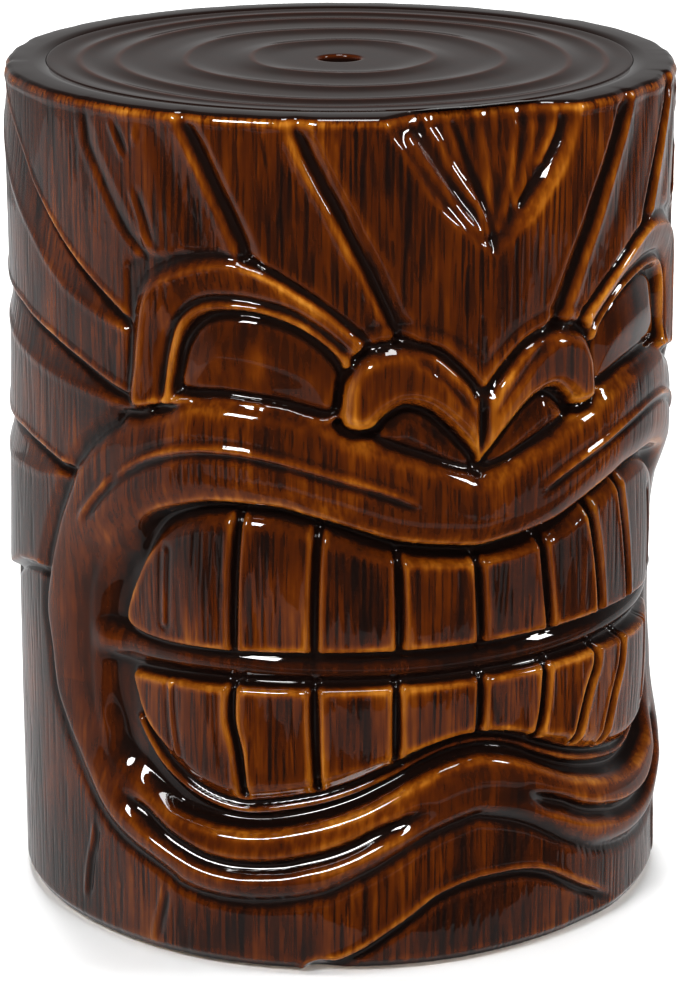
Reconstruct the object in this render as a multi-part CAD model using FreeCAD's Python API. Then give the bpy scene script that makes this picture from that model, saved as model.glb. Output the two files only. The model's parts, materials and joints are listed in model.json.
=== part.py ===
import FreeCAD, Part
import math
import os

# A drum-shaped ceramic stool, slip-cast in stoneware and carved all round as a tiki mask.
# The frame: origin on the floor under the middle, +Z up, the face looking along -Y.
# The relief is drawn on the unrolled wall as (degrees round from the nose, height in mm).

# Driving dimensions, in millimetres
HEIGHT = 457.0
BODY_RADIUS = 180.0
RIM_RADIUS = 176.0
PAD_HEIGHT = 3.0
PAD_RADIUS = 11.0
PAD_CIRCLE_RADIUS = 159.0
PAD_COUNT = 4
WALL_THICKNESS = 6.0
SEAT_RADIUS = 157.0
SEAT_THICKNESS = 12.0
SEAT_LEDGE_WIDTH = 8.0
SEAT_HOLE_RADIUS = 11.3
FOOT_RADIUS = 169.0
FOOT_INNER_RADIUS = 149.0
FOOT_THICKNESS = 10.0
FOOT_LEDGE_WIDTH = 6.0
FOOT_FILLET = 3.0
JOINT_GAP = 0.2
RIPPLE_CRESTS = (50.0, 87.0, 122.5, 143.0)
RIPPLE_DEPTH = 1.6
SEAT_DROP = 0.4

# The grid of control points of the carved surface
FRONT_STEP = 1.25
BACK_STEP = 2.5
FRONT_HALF_ANGLE = 105.0
ROW_STEP = 4.0

MM_PER_DEGREE = math.radians(1) * BODY_RADIUS
FAR = 1000.0

# How far the carving stands out of the mean wall, or is sunk in it
TRUNK_LEVEL = -1.5
LEAF_TIP_LEVEL = 2.6
BACK_SWELL = 2.0
FACE_LEVEL = -6.0
SHINGLE_DEPTH = 4.0
FURROW_DEPTH = 4.8
FURROW_WALL_WIDTH = 5.0
FACET_WIDTH = 9.0
LOCK_CREST = 0.8
CROWN_DEPTH = 14.0
CROWN_EDGE_DEPTH = 2.0
PLUME_HEIGHT = 2.5
BROW_LEVEL = 1.5
BROW_CREST_HEIGHT = 1.2
BROW_GROOVE_DEPTH = 3.5
SOCKET_LEVEL = -9.0
SOCKET_RIDGE_HEIGHT = 2.6
EYE_SWELL = 6.5
NOSE_LEVEL = 5.36
NOSE_EDGE_LEVEL = -4.0
NOSE_FOLD_DEPTH = 1.5
NOSTRIL_LEVEL = -6.0
NOSTRIL_SWELL = 4.0
ABOVE_NOSE_DEPTH = 4.5
LIP_LEVEL = 1.4
LIP_EDGE_DROP = 2.5
LIP_TOP_DROP = 7.0
LIP_INNER_DROP = 5.0
WRINKLE_DEPTH = 2.6
MOUTH_LEVEL = -13.5
TOOTH_LEVEL = -7.0
TOOTH_SWELL = 1.8
TOOTH_GAP_DEPTH = 4.0
CHIN_RIDGE_HEIGHT = 1.2
CHIN_DROP = 3.0
CREASE_DEPTH = 2.2
BASE_TAPER = 2.0

# Where one kind of carving gives way to another
FACE_HALF_ANGLE = 57.0
FOREHEAD_FOOT = 330.0
LIP_MIDDLE = 150.0
LAST_LOCK_WIDTH = 2.4

# Overlapping leaves on the flank: the lower edge of one, and the ridge that the next one rises to
LEAF_EDGES = (
    ((57, 340), (64, 354), (72, 370), (80, 389), (86.5, 406), (94, 428), (104, 452), (118, 470)),
    ((57, 304), (68, 314), (80, 327), (92, 336), (104, 340), (130, 352), (155, 350), (180, 338)),
    ((57, 254), (77, 260), (84, 264), (96, 267), (104, 267), (128, 274), (155, 270), (180, 262)),
)
LEAF_RIDGES = (
    ((57, 338), (66, 345), (76, 356), (86, 376), (95, 393), (104, 410), (118, 440), (135, 462)),
    ((57, 300), (70, 304), (80, 307), (90, 311), (104, 316), (130, 326), (155, 325), (180, 314)),
    ((57, 250), (78, 254), (84, 250), (92, 248), (104, 244), (128, 250), (155, 248), (180, 240)),
)
LEAF_TIPS = ((57, 196), (85, 196), (92, 194), (100, 186), (108, 176), (116, 186), (130, 197),
             (142, 190), (152, 177), (162, 190), (172, 197), (180, 194))

# Furrows of the forehead: (height, degrees) of the bottom of each
FURROWS = (
    ((346, 14.6), (364, 17), (380, 19.4), (395, 22), (408, 24), (437, 29), (452, 31)),
    ((382, 38.8), (393, 40), (406, 42), (431, 46), (455, 50)),
    ((380, 56.2), (392, 60.2), (412, 64.6), (434, 69), (452, 70)),
)

# The tuft that is sunk in the forehead: (height, degrees) of its two sides
CROWN_LEFT = ((384, 1), (395, -3), (409, -7.7), (428, -12), (448, -16), (457, -17))
CROWN_RIGHT = ((384, 3), (396, 6.7), (420, 13.8), (438, 17), (448, 18), (457, 18.6))
CROWN_PLUMES = (
    ((443, -12), (406, -3.5)),
    ((452, -9.3), (429, -5.3), (408, -0.5)),
    ((449, 1.1), (424, 1.7), (408, 1.5)),
    ((449, 8), (425, 6.6), (400, 3.6)),
)

# The left half of the face; the right half is its mirror image
BROW = ((-60.7, 303), (-60.7, 340), (-60.7, 378), (-57, 382), (-50, 386), (-44, 386.4), (-38, 382),
        (-32, 373), (-26, 360), (-21.8, 349), (-19.8, 342), (-21.8, 334))
BROW_CREST = ((-59, 303), (-57.6, 346), (-55.2, 366), (-50, 375), (-45.3, 379.5), (-41.3, 381),
              (-36, 377), (-30.5, 367.6), (-26.5, 359.5), (-23, 351), (-20.8, 340))
SOCKET = ((-53.4, 306), (-52.8, 324), (-52, 337), (-50.4, 350), (-46.9, 357.6), (-42, 360),
          (-36, 358), (-32, 354), (-28, 347), (-25, 339), (-22.6, 330))
EYE = ((-51.4, 313.5), (-51.2, 328), (-49.8, 340), (-47, 349.5), (-43.5, 353.6), (-38, 354),
       (-32, 349), (-27, 339.5), (-24.4, 328), (-24.2, 314), (-25.6, 306), (-31, 309),
       (-38, 312.5), (-44, 313.6))
NOSE = ((0, 311), (-3, 322), (-6, 331), (-9, 338), (-13, 342), (-17, 341.5), (-20.4, 337),
        (-22.6, 327), (-23.8, 312), (-23.5, 300), (-20.8, 296.4), (-18, 299), (-15.5, 306.5),
        (-12.9, 309.5), (-10, 307), (-7, 300), (-4, 291), (-1.5, 282), (0, 277))
NOSE_FOLD = ((-16, 325), (-12.9, 324.5), (-9.3, 319.5), (-6, 312), (-3.7, 302), (-1.3, 292))
NOSTRIL = ((-2, 275), (-5, 283), (-9, 294), (-12.8, 301), (-16, 297), (-18, 293), (-13, 287), (-7, 279))
ABOVE_NOSE = ((-18, 343), (-15.3, 346.5), (-12, 345.5), (-8.4, 341), (-5, 334), (-2, 327), (0, 322))
LIP_TOP = ((-62, 298), (-58, 300), (-54, 304), (-50, 310), (-44, 310.8), (-38, 309.8), (-32, 307),
           (-26, 303), (-22, 296.4), (-16, 289), (-9, 280.8), (-3, 272.8), (0, 269.5))
LIP_SIDE = ((-63.8, 292), (-68, 281), (-72, 269.5), (-76, 252), (-80, 229.5), (-84, 196), (-85.3, 172),
            (-83.7, 152), (-82.3, 130), (-78.9, 112), (-74.5, 92), (-68.9, 72), (-61.8, 58.5),
            (-54, 48), (-48, 41), (-41, 39.3), (-34, 41.6), (-26, 47.5), (-18, 60.5), (-10, 75),
            (-4, 82), (0, 84))
UPPER_WRINKLE = ((-59.8, 271), (-55, 280), (-48, 286), (-40, 286.4), (-32, 282), (-24, 274.5),
                 (-16, 266), (-10.5, 258))
CORNER_WRINKLE = ((-76, 209), (-72.5, 232), (-68.9, 247), (-65, 262), (-62.2, 271))
LOWER_WRINKLE = ((-67, 90), (-60, 78.5), (-52, 65), (-46, 58.6), (-40, 58.5), (-30, 63.5), (-22, 72),
                 (-14, 84), (-6, 98))
MOUTH = ((0, 232.3), (-8, 235), (-15, 239), (-24.5, 248.5), (-34, 256), (-43.3, 257), (-50.9, 253),
         (-58, 244.5), (-63.5, 231), (-69, 215), (-72.5, 195), (-73, 165), (-72.5, 132), (-70, 108),
         (-64, 91.6), (-56, 83), (-50, 79), (-43, 76.6), (-36, 78), (-28, 83.6), (-18, 95),
         (-8, 110.4), (0, 115.6))
UPPER_TEETH = ((0, 226), (-8, 228), (-15, 232.5), (-24, 243), (-34, 251.4), (-43, 252.4), (-51, 247.4),
               (-57, 236), (-61, 215), (-64, 197), (-65.2, 182), (-61, 174.6), (-46, 174.6),
               (-20, 177), (0, 177))
LOWER_TEETH = ((0, 160.4), (-20, 159.8), (-44, 157.6), (-58, 155.4), (-64, 153), (-62.4, 136),
               (-58.5, 116), (-53, 102), (-46, 93), (-41, 91.6), (-30, 97.4), (-18, 109.6),
               (-8, 123.4), (0, 127.6))
UPPER_TEETH_MIDDLE = 204
LOWER_TEETH_MIDDLE = 130
UPPER_GAPS = (((-42.2, 177), (-41.5, 252)), ((-28.3, 177), (-27.6, 246)), ((-13.7, 178), (-14.2, 234)))
LOWER_GAPS = (((-42.5, 160), (-40.8, 94)), ((-28.4, 160), (-27.8, 100)), ((-14.2, 161), (-14.2, 116)))
MIDDLE_GAPS = (((1, 178), (0, 228)), ((1.3, 161), (0.7, 125)))
CHIN_FOLD = ((-30, 4), (-24, 9), (-20, 15), (-16, 23.5), (-12, 32), (-8, 41), (-4, 46), (2, 49),
             (8, 48.5), (12, 46), (16, 41), (20, 33.5), (24, 26), (30, 16), (35, 4))
CHEEK_CREASES = (((-55.4, 43.5), (-56.4, 28.5), (-58, 5)), ((-71.3, 67), (-73.3, 45), (-74.8, 14)))


def clamp(value):
    return min(max(value, 0.0), 1.0)


def smooth(value):
    """An S-shaped step from 0 to 1."""
    t = clamp(value)
    return t * t * (3 - 2 * t)


def rise(share):
    """A rounded rise from 0 to 1, steep at first and level at the end."""
    return math.sin(math.pi / 2 * clamp(share))


def bump(distance, half_width):
    """1 on a line, falling smoothly to 0 at half_width from it."""
    t = clamp(abs(distance) / half_width)
    return (1 - t * t) ** 2


def along(points, place):
    """The height of a line of (place, height) points, straight between them and level beyond them."""
    if place <= points[0][0]:
        return points[0][1]
    for (a, low), (b, high) in zip(points, points[1:]):
        if place <= b:
            return low + (high - low) * (place - a) / (b - a)
    return points[-1][1]


def mirrored(points):
    return [(-angle, height) for angle, height in reversed(points)]


def whole(points):
    """A closed outline from its left half, which starts and ends on the middle line."""
    return list(points) + mirrored(points)[1:-1]


def spaced(first, last, step):
    """Evenly spaced values from first to last, step apart or a little closer."""
    count = math.ceil((last - first) / step)
    return [first + (last - first) * k / count for k in range(count + 1)]


def column_angles():
    front = spaced(-FRONT_HALF_ANGLE, FRONT_HALF_ANGLE, FRONT_STEP)
    back = spaced(FRONT_HALF_ANGLE, 360 - FRONT_HALF_ANGLE, BACK_STEP)
    return front + back[1:-1]


def row_heights():
    """The rows of control points: close together where the rim and the base turn over."""
    base = [PAD_HEIGHT, PAD_HEIGHT + 1.5]
    rim = [HEIGHT - 1.2, HEIGHT]
    return base + spaced(PAD_HEIGHT + 4, HEIGHT - 4, ROW_STEP) + rim


ANGLES = column_angles()
HEIGHTS = row_heights()


def wrapped(angle):
    return angle - 360 if angle > 180 else angle


def rounded(points, closed):
    """Corners of a line turned into short straight steps along a smooth curve through the points."""
    count = len(points)
    steps = []
    for k in range(count if closed else count - 1):
        near = [points[(k + n) % count] if closed else points[min(max(k + n, 0), count - 1)]
                for n in (-1, 0, 1, 2)]
        for part in range(4):
            steps.append(spline_point(near, part / 4))
    return steps + [points[0] if closed else points[-1]]


def spline_point(near, t):
    a, b, c, d = near
    return tuple(
        b[n] + 0.5 * t * (c[n] - a[n] + t * (2 * a[n] - 5 * b[n] + 4 * c[n] - d[n]
                                            + t * (3 * (b[n] - c[n]) + d[n] - a[n])))
        for n in (0, 1)
    )


def distances(points, reach, closed=False):
    """How far each control point is from a line, FAR beyond reach, negative inside a closed line."""
    line = rounded([(angle * MM_PER_DEGREE, height) for angle, height in points], closed)
    field = [[FAR] * len(HEIGHTS) for _ in ANGLES]
    for start, end in zip(line, line[1:]):
        mark_segment(field, start, end, reach)
    if closed:
        mark_inside(field, line)
    return field


def mark_segment(field, start, end, reach):
    run, rise = end[0] - start[0], end[1] - start[1]
    length_squared = run * run + rise * rise or 1e-9
    low, high = min(start[1], end[1]) - reach, max(start[1], end[1]) + reach
    left, right = min(start[0], end[0]) - reach, max(start[0], end[0]) + reach
    rows = [j for j, height in enumerate(HEIGHTS) if low < height < high]
    for i, angle in enumerate(ANGLES):
        x = wrapped(angle) * MM_PER_DEGREE
        if not left < x < right:
            continue
        for j in rows:
            t = clamp(((x - start[0]) * run + (HEIGHTS[j] - start[1]) * rise) / length_squared)
            distance = math.hypot(x - start[0] - t * run, HEIGHTS[j] - start[1] - t * rise)
            if distance < min(reach, field[i][j]):
                field[i][j] = distance


def mark_inside(field, line):
    """Makes the distance negative inside a closed line, by counting its crossings under each point."""
    for i, angle in enumerate(ANGLES):
        x = wrapped(angle) * MM_PER_DEGREE
        crossings = [a[1] + (b[1] - a[1]) * (x - a[0]) / (b[0] - a[0])
                     for a, b in zip(line, line[1:]) if (a[0] <= x) != (b[0] <= x)]
        for j, height in enumerate(HEIGHTS):
            if sum(crossing < height for crossing in crossings) % 2:
                field[i][j] = -field[i][j]


def both_sides(points, reach, closed=False):
    """The distances to a line of the left half and to its mirror image, whichever is less."""
    left = distances(points, reach, closed)
    right = distances(mirrored(points), reach, closed)
    return [[min(a, b) for a, b in zip(*columns)] for columns in zip(left, right)]


def flank_level(angle, height):
    """The leaves on the flanks and the back, and the bare trunk under their tips."""
    side = abs(angle)
    tips = along(LEAF_TIPS, side)
    tip_level = LEAF_TIP_LEVEL + BACK_SWELL * smooth((side - 80) / 60)
    level = tip_level * (1 - clamp((height - tips) / 120)) if height > tips else TRUNK_LEVEL
    for edges, ridges in zip(LEAF_EDGES, LEAF_RIDGES):
        edge, ridge = along(edges, side), along(ridges, side)
        if ridge < height < edge:
            level -= SHINGLE_DEPTH * (height - ridge) / (edge - ridge)
    return level


def forehead_level(angle, height):
    """Broad locks between furrows; each furrow has a steep outer side and a facet sloping in to the nose."""
    side = abs(angle)
    level = 0.0
    for furrow in FURROWS:
        away = (side - along(furrow, height)) * MM_PER_DEGREE
        if away > 0:
            share = 1 - smooth(away / FURROW_WALL_WIDTH)
        else:
            share = clamp(1 + away / FACET_WIDTH)
        level += LOCK_CREST * bump(away - FURROW_WALL_WIDTH, 6) - FURROW_DEPTH * share
    return level - crown_depth(angle, height)


def crown_depth(angle, height):
    """The sunken tuft over the nose, deepest at the rim, with a few plumes standing in it."""
    foot = CROWN_LEFT[0][0]
    left, right = along(CROWN_LEFT, height), along(CROWN_RIGHT, height)
    if height < foot or not left < angle < right:
        return 0.0
    inwards = min(angle - left, right - angle) * MM_PER_DEGREE
    depth = CROWN_EDGE_DEPTH + CROWN_DEPTH * clamp((height - foot) / 70)
    plumes = sum(bump((angle - along(sorted(plume), height)) * MM_PER_DEGREE, 6) for plume in CROWN_PLUMES)
    return depth * smooth(inwards / 14) - PLUME_HEIGHT * plumes * smooth(inwards / 8)


def carve_eyes(relief):
    """The brow band, the thin ridge inside it and the bulging eye."""
    hull = list(BROW) + [(-23.6, 322), (-24, 304), (-34, 308), (-46, 311), (-53, 306)]
    area = both_sides(hull, 40, closed=True)
    outer, ridge = both_sides(BROW, 60), both_sides(SOCKET, 60)
    crest, eye = both_sides(BROW_CREST, 10), both_sides(EYE, 40, closed=True)
    for i, j in cells():
        if area[i][j] < 0:
            share = outer[i][j] / (outer[i][j] + ridge[i][j] + 1e-6)
            if eye[i][j] < 0:
                level = SOCKET_LEVEL + EYE_SWELL * rise(-eye[i][j] / 20)
            else:
                level = BROW_LEVEL + (SOCKET_LEVEL - BROW_LEVEL) * share
            level += BROW_CREST_HEIGHT * bump(crest[i][j], 6)
            relief[i][j] = level + SOCKET_RIDGE_HEIGHT * bump(ridge[i][j], 4)
        relief[i][j] -= BROW_GROOVE_DEPTH * bump(outer[i][j], 5)


def carve_nose(relief):
    """Two thick wings that meet in the middle, with a nostril under each."""
    wings = both_sides(NOSE, 16, closed=True)
    fold = both_sides(NOSE_FOLD, 8)
    nostrils = both_sides(NOSTRIL, 16, closed=True)
    above = both_sides(ABOVE_NOSE, 10)
    for i, j in cells():
        if wings[i][j] < 0:
            level = NOSE_EDGE_LEVEL + (NOSE_LEVEL - NOSE_EDGE_LEVEL) * rise(-wings[i][j] / 13)
            relief[i][j] = level - NOSE_FOLD_DEPTH * bump(fold[i][j], 5)
        elif wings[i][j] < 6:
            relief[i][j] -= 2.5 * bump(wings[i][j], 6)
        if nostrils[i][j] < 0:
            relief[i][j] = NOSTRIL_LEVEL + NOSTRIL_SWELL * rise(-nostrils[i][j] / 9)
        relief[i][j] -= ABOVE_NOSE_DEPTH * bump(above[i][j], 7)


def carve_lips(relief):
    """The lips: a swollen band round the mouth, creased along its middle."""
    outline = whole(list(reversed(LIP_TOP)) + list(LIP_SIDE))
    area = distances(outline, 60, closed=True)
    mouth = distances(whole(MOUTH), 60, closed=True)
    top = both_sides(LIP_TOP, 30)
    wrinkles = [both_sides(line, 10) for line in (UPPER_WRINKLE, CORNER_WRINKLE, LOWER_WRINKLE)]
    for i, j in cells():
        if area[i][j] < 0:
            level = LIP_LEVEL - LIP_EDGE_DROP * (1 - smooth(-area[i][j] / 7))
            level -= LIP_TOP_DROP * (1 - smooth(top[i][j] / 24))
            level -= LIP_INNER_DROP * (1 - smooth(mouth[i][j] / 12))
            level -= WRINKLE_DEPTH * sum(bump(wrinkle[i][j], 5) for wrinkle in wrinkles)
            relief[i][j] = level
        elif area[i][j] < 5:
            relief[i][j] -= LIP_EDGE_DROP * bump(area[i][j], 5)


def carve_mouth(relief):
    """The open mouth with its two rows of teeth, parted by the dark bar between them."""
    mouth = distances(whole(MOUTH), 20, closed=True)
    rows = [distances(whole(row), 12, closed=True) for row in (UPPER_TEETH, LOWER_TEETH)]
    gaps = [both_sides(gap, 6) for gap in UPPER_GAPS + LOWER_GAPS]
    gaps += [distances(gap, 6) for gap in MIDDLE_GAPS]
    for i, j in cells():
        if mouth[i][j] > 0:
            continue
        relief[i][j] += (MOUTH_LEVEL - relief[i][j]) * smooth(-mouth[i][j] / 4 + 0.2)
        for row, middle in zip(rows, (UPPER_TEETH_MIDDLE, LOWER_TEETH_MIDDLE)):
            if row[i][j] < 0:
                level = TOOTH_LEVEL + TOOTH_SWELL * (1 - ((HEIGHTS[j] - middle) / 50) ** 2)
                level -= (TOOTH_LEVEL - MOUTH_LEVEL) * (1 - smooth(-row[i][j] / 6))
                relief[i][j] = level - TOOTH_GAP_DEPTH * max(bump(gap[i][j], 5) for gap in gaps)


def carve_chin(relief):
    """The fold under the lower lip and the creases beside it."""
    fold = distances(CHIN_FOLD, 20)
    under = distances([(-31, -20)] + list(CHIN_FOLD) + [(36, -20)], 30, closed=True)
    creases = [both_sides(line, 8) for line in CHEEK_CREASES]
    for i, j in cells():
        relief[i][j] += CHIN_RIDGE_HEIGHT * bump(fold[i][j], 5)
        if under[i][j] < 0:
            relief[i][j] -= CHIN_DROP + 2.0 * bump(fold[i][j], 16)
        relief[i][j] -= CREASE_DEPTH * sum(bump(crease[i][j], 5) for crease in creases)


def cells():
    return ((i, j) for i in range(len(ANGLES)) for j in range(len(HEIGHTS)))


def plain_level(angle, height):
    """The leaves, the locks of the forehead and the trunk, before the face is cut into them."""
    side = abs(angle)
    if height > FOREHEAD_FOOT and side < along(FURROWS[2], height) + LAST_LOCK_WIDTH:
        return forehead_level(angle, height)
    if side > FACE_HALF_ANGLE:
        return flank_level(angle, height)
    return FACE_LEVEL if height > LIP_MIDDLE else TRUNK_LEVEL


def turn_over_ends(relief):
    """Smooths the rim band, rounds the rim over and draws the base in to the foot."""
    for i, j in cells():
        height, angle = HEIGHTS[j], wrapped(ANGLES[i])
        band = smooth((height - (HEIGHT - 12)) / 5)
        relief[i][j] *= 1 - band
        relief[i][j] -= band * crown_depth(angle, height)
        relief[i][j] -= (BODY_RADIUS - RIM_RADIUS) * smooth((height - HEIGHT + 5) / 5) ** 2
        relief[i][j] -= BASE_TAPER * (1 - smooth((height - PAD_HEIGHT) / 5))


def carved_radii():
    relief = [[plain_level(wrapped(angle), height) for height in HEIGHTS] for angle in ANGLES]
    for carve in (carve_lips, carve_mouth, carve_chin, carve_eyes, carve_nose, turn_over_ends):
        carve(relief)
    return [[BODY_RADIUS + level for level in column] for column in relief]


def inner_radii(outer, angles, heights):
    """The inside of the wall: the lowest carving near each point, less the wall's thickness."""
    reach_angle, reach_height = 9.0, 20.0
    lowest, highest = 12, HEIGHT - 12
    radii = []
    for angle in angles:
        near = [i for i, a in enumerate(ANGLES) if abs((a - angle + 180) % 360 - 180) < reach_angle]
        radii.append([
            min(outer[i][j] for i in near
                for j, h in enumerate(HEIGHTS) if abs(h - height) < reach_height and lowest < h < highest)
            - WALL_THICKNESS
            for height in heights
        ])
    return radii


def skin(radii, angles, heights):
    """A smooth closed surface over control points at these radii, open at its top and bottom."""
    poles = []
    for angle, column in zip(angles, radii):
        sine, cosine = math.sin(math.radians(angle)), math.cos(math.radians(angle))
        poles.append([FreeCAD.Vector(r * sine, -r * cosine, z) for r, z in zip(column, heights)])
    across, up = len(angles), len(heights)
    surface = Part.BSplineSurface()
    surface.buildFromPolesMultsKnots(
        poles, [1] * (across + 1), [4] + [1] * (up - 4) + [4],
        [float(k) for k in range(across + 1)], [float(k) for k in range(up - 2)], True, False, 3, 3)
    return surface.toShape()


def round_edges(face):
    """The two closed edges of a tube-like face, lowest first."""
    return sorted((e for e in face.Edges if e.isClosed()), key=lambda e: e.BoundBox.ZMin)


def ring_face(outer_edge, inner_edge):
    return Part.makeFace([Part.Wire([outer_edge]), Part.Wire([inner_edge])], "Part::FaceMakerBullseye")


def tube_face(radius, bottom, top):
    tube = Part.makeCylinder(radius, top - bottom, FreeCAD.Vector(0, 0, bottom))
    return next(f for f in tube.Faces if f.Surface.TypeId == "Part::GeomCylinder")


def carved_wall():
    """The cast wall: carved outside, even inside, rebated for the seat above and the foot ring below."""
    outer = carved_radii()
    outside = skin(outer, ANGLES, HEIGHTS)
    foot_top, ledge = PAD_HEIGHT + FOOT_THICKNESS, HEIGHT - SEAT_THICKNESS
    angles = spaced(-180, 180, 5)[:-1]
    heights = [foot_top, foot_top + 6] + spaced(foot_top + 18, ledge - 18, 12) + [ledge - 6, ledge]
    inner = inner_radii(outer, angles, heights)
    for column in inner:
        column[0] = column[1] = FOOT_RADIUS - FOOT_LEDGE_WIDTH
        column[-1] = column[-2] = SEAT_RADIUS - SEAT_LEDGE_WIDTH
    inside = skin(inner, angles, heights)
    foot_rebate = tube_face(FOOT_RADIUS, PAD_HEIGHT, foot_top)
    seat_rebate = tube_face(SEAT_RADIUS + JOINT_GAP, ledge, HEIGHT)
    (base_edge, rim_edge), (low_edge, high_edge) = round_edges(outside), round_edges(inside)
    (foot_low, foot_high), (seat_low, seat_high) = round_edges(foot_rebate), round_edges(seat_rebate)
    faces = [
        outside, inside, foot_rebate, seat_rebate,
        ring_face(base_edge, foot_low), ring_face(foot_high, low_edge),
        ring_face(seat_low, high_edge), ring_face(rim_edge, seat_high),
    ]
    shell = Part.Shell(faces)
    shell.sewShape()
    return Part.makeSolid(shell)


def seat_disc():
    """The seat, turned with shallow growth rings round the finger hole in its middle."""
    bottom, top = HEIGHT - SEAT_THICKNESS, HEIGHT - SEAT_DROP
    profile = [FreeCAD.Vector(SEAT_HOLE_RADIUS, 0, top), FreeCAD.Vector(30, 0, top - 0.6)]
    crests = RIPPLE_CRESTS
    for crest, following in zip(crests, crests[1:] + (SEAT_RADIUS,)):
        profile.append(FreeCAD.Vector(crest, 0, top))
        profile.append(FreeCAD.Vector((crest + following) / 2, 0, top - RIPPLE_DEPTH))
    profile.append(FreeCAD.Vector(SEAT_RADIUS, 0, top))
    curve = Part.BSplineCurve()
    curve.interpolate(profile)
    corners = [
        profile[-1], FreeCAD.Vector(SEAT_RADIUS, 0, bottom),
        FreeCAD.Vector(SEAT_HOLE_RADIUS, 0, bottom), profile[0],
    ]
    edges = [curve.toShape(), *Part.makePolygon(corners).Edges]
    return Part.Face(Part.Wire(edges)).revolve(FreeCAD.Vector(), FreeCAD.Vector(0, 0, 1), 360)


def foot_ring():
    """The flat ring inside the base that stiffens the wall and carries the pads."""
    centre = FreeCAD.Vector(0, 0, PAD_HEIGHT)
    disc = Part.makeCylinder(FOOT_RADIUS - JOINT_GAP, FOOT_THICKNESS, centre)
    ring = disc.cut(Part.makeCylinder(FOOT_INNER_RADIUS, FOOT_THICKNESS, centre))
    inner = [e for e in ring.Edges if abs(e.BoundBox.XMax - FOOT_INNER_RADIUS) < 0.01 and e.isClosed()]
    return ring.makeFillet(FOOT_FILLET, inner)


def pad(number):
    """One round non-slip pad, glued under the foot ring."""
    turn = math.radians(45 + 360 * number / PAD_COUNT)
    centre = FreeCAD.Vector(PAD_CIRCLE_RADIUS * math.cos(turn), PAD_CIRCLE_RADIUS * math.sin(turn), 0)
    return Part.makeCylinder(PAD_RADIUS, PAD_HEIGHT, centre)


def main():
    os.makedirs("parts", exist_ok=True)
    nodes = {"carved_wall": carved_wall(), "seat_disc": seat_disc(), "foot_ring": foot_ring()}
    for number in range(PAD_COUNT):
        nodes[f"pad_{number + 1}"] = pad(number)
    for name, shape in nodes.items():
        shape.exportStep(f"parts/{name}.step")
        box = shape.BoundBox
        print(name, shape.isValid(), round(shape.Volume / 1000), "cm3",
              [round(v, 2) for v in (box.XMin, box.XMax, box.YMin, box.YMax, box.ZMin, box.ZMax)])


main()
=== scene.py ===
import json
import math

import bpy
import numpy as np
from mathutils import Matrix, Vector


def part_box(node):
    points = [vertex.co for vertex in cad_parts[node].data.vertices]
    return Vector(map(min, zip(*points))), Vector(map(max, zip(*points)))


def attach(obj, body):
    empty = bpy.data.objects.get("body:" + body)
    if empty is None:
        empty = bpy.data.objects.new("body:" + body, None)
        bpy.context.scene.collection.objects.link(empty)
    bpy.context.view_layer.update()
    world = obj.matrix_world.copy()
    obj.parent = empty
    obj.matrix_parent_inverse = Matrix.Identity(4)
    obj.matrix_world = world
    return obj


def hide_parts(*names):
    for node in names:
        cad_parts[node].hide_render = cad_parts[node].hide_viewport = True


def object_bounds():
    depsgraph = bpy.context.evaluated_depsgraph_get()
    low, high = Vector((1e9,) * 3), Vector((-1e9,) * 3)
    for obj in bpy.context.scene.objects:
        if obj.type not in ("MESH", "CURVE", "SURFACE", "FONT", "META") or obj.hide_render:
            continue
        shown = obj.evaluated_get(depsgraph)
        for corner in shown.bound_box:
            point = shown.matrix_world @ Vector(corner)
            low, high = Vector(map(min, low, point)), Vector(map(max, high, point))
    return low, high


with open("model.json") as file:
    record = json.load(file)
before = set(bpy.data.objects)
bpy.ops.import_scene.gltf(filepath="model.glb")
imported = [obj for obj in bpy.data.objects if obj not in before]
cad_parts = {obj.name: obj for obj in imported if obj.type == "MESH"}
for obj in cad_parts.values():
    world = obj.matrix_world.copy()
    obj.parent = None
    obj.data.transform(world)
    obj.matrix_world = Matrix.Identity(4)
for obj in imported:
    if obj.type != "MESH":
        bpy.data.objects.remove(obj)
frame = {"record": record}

cad_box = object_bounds()

# A ceramic stool carved as a tiki mask. The relief is drawn on the unrolled wall in millimetres and
# degrees round from the nose, as in the CAD, with the finer carving that the CAD leaves out.
MM = 0.001
HEIGHT = cad_box[1].z / MM
BODY_RADIUS = 180.0
RIM_RADIUS = 176.0
WIDEST = (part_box("carved_wall")[1].x / MM, -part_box("carved_wall")[0].y / MM)
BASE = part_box("carved_wall")[0].z / MM
SEAT_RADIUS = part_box("seat_disc")[1].x / MM
SEAT_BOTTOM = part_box("seat_disc")[0].z / MM
SEAT_HOLE_RADIUS = next(m for m in frame["record"]["mounts"] if m["name"] == "seat_hole")["dims"]["r_mm"]
FOOT_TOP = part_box("foot_ring")[1].z / MM
FOOT_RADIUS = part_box("foot_ring")[1].x / MM
MM_PER_DEGREE = math.radians(1) * BODY_RADIUS

# The unrolled grid: fine over the face, coarser round the back
FRONT_STEP = 0.27
BACK_STEP = 0.8
FRONT_HALF_ANGLE = 112.0
ROW_STEP = 0.95
BASE_ROWS = (0, 0.4)
RIM_ROWS = (2.2, 1.4, 0.7, 0.2, 0)
STEPS_PER_POINT = 6
SOFT_EDGE = 2.6

rng = np.random.default_rng(7)


def column_angles():
    """Angles from -180 to 180, the same on both sides of the nose, closer together over the face."""
    front = np.arange(FRONT_STEP / 2, FRONT_HALF_ANGLE, FRONT_STEP)
    back_count = round((180 - FRONT_HALF_ANGLE) / BACK_STEP)
    back = np.linspace(front[-1] + BACK_STEP, 180 - BACK_STEP / 2, back_count)
    half = np.concatenate([front, back])
    return np.concatenate([-half[::-1], half])


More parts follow.
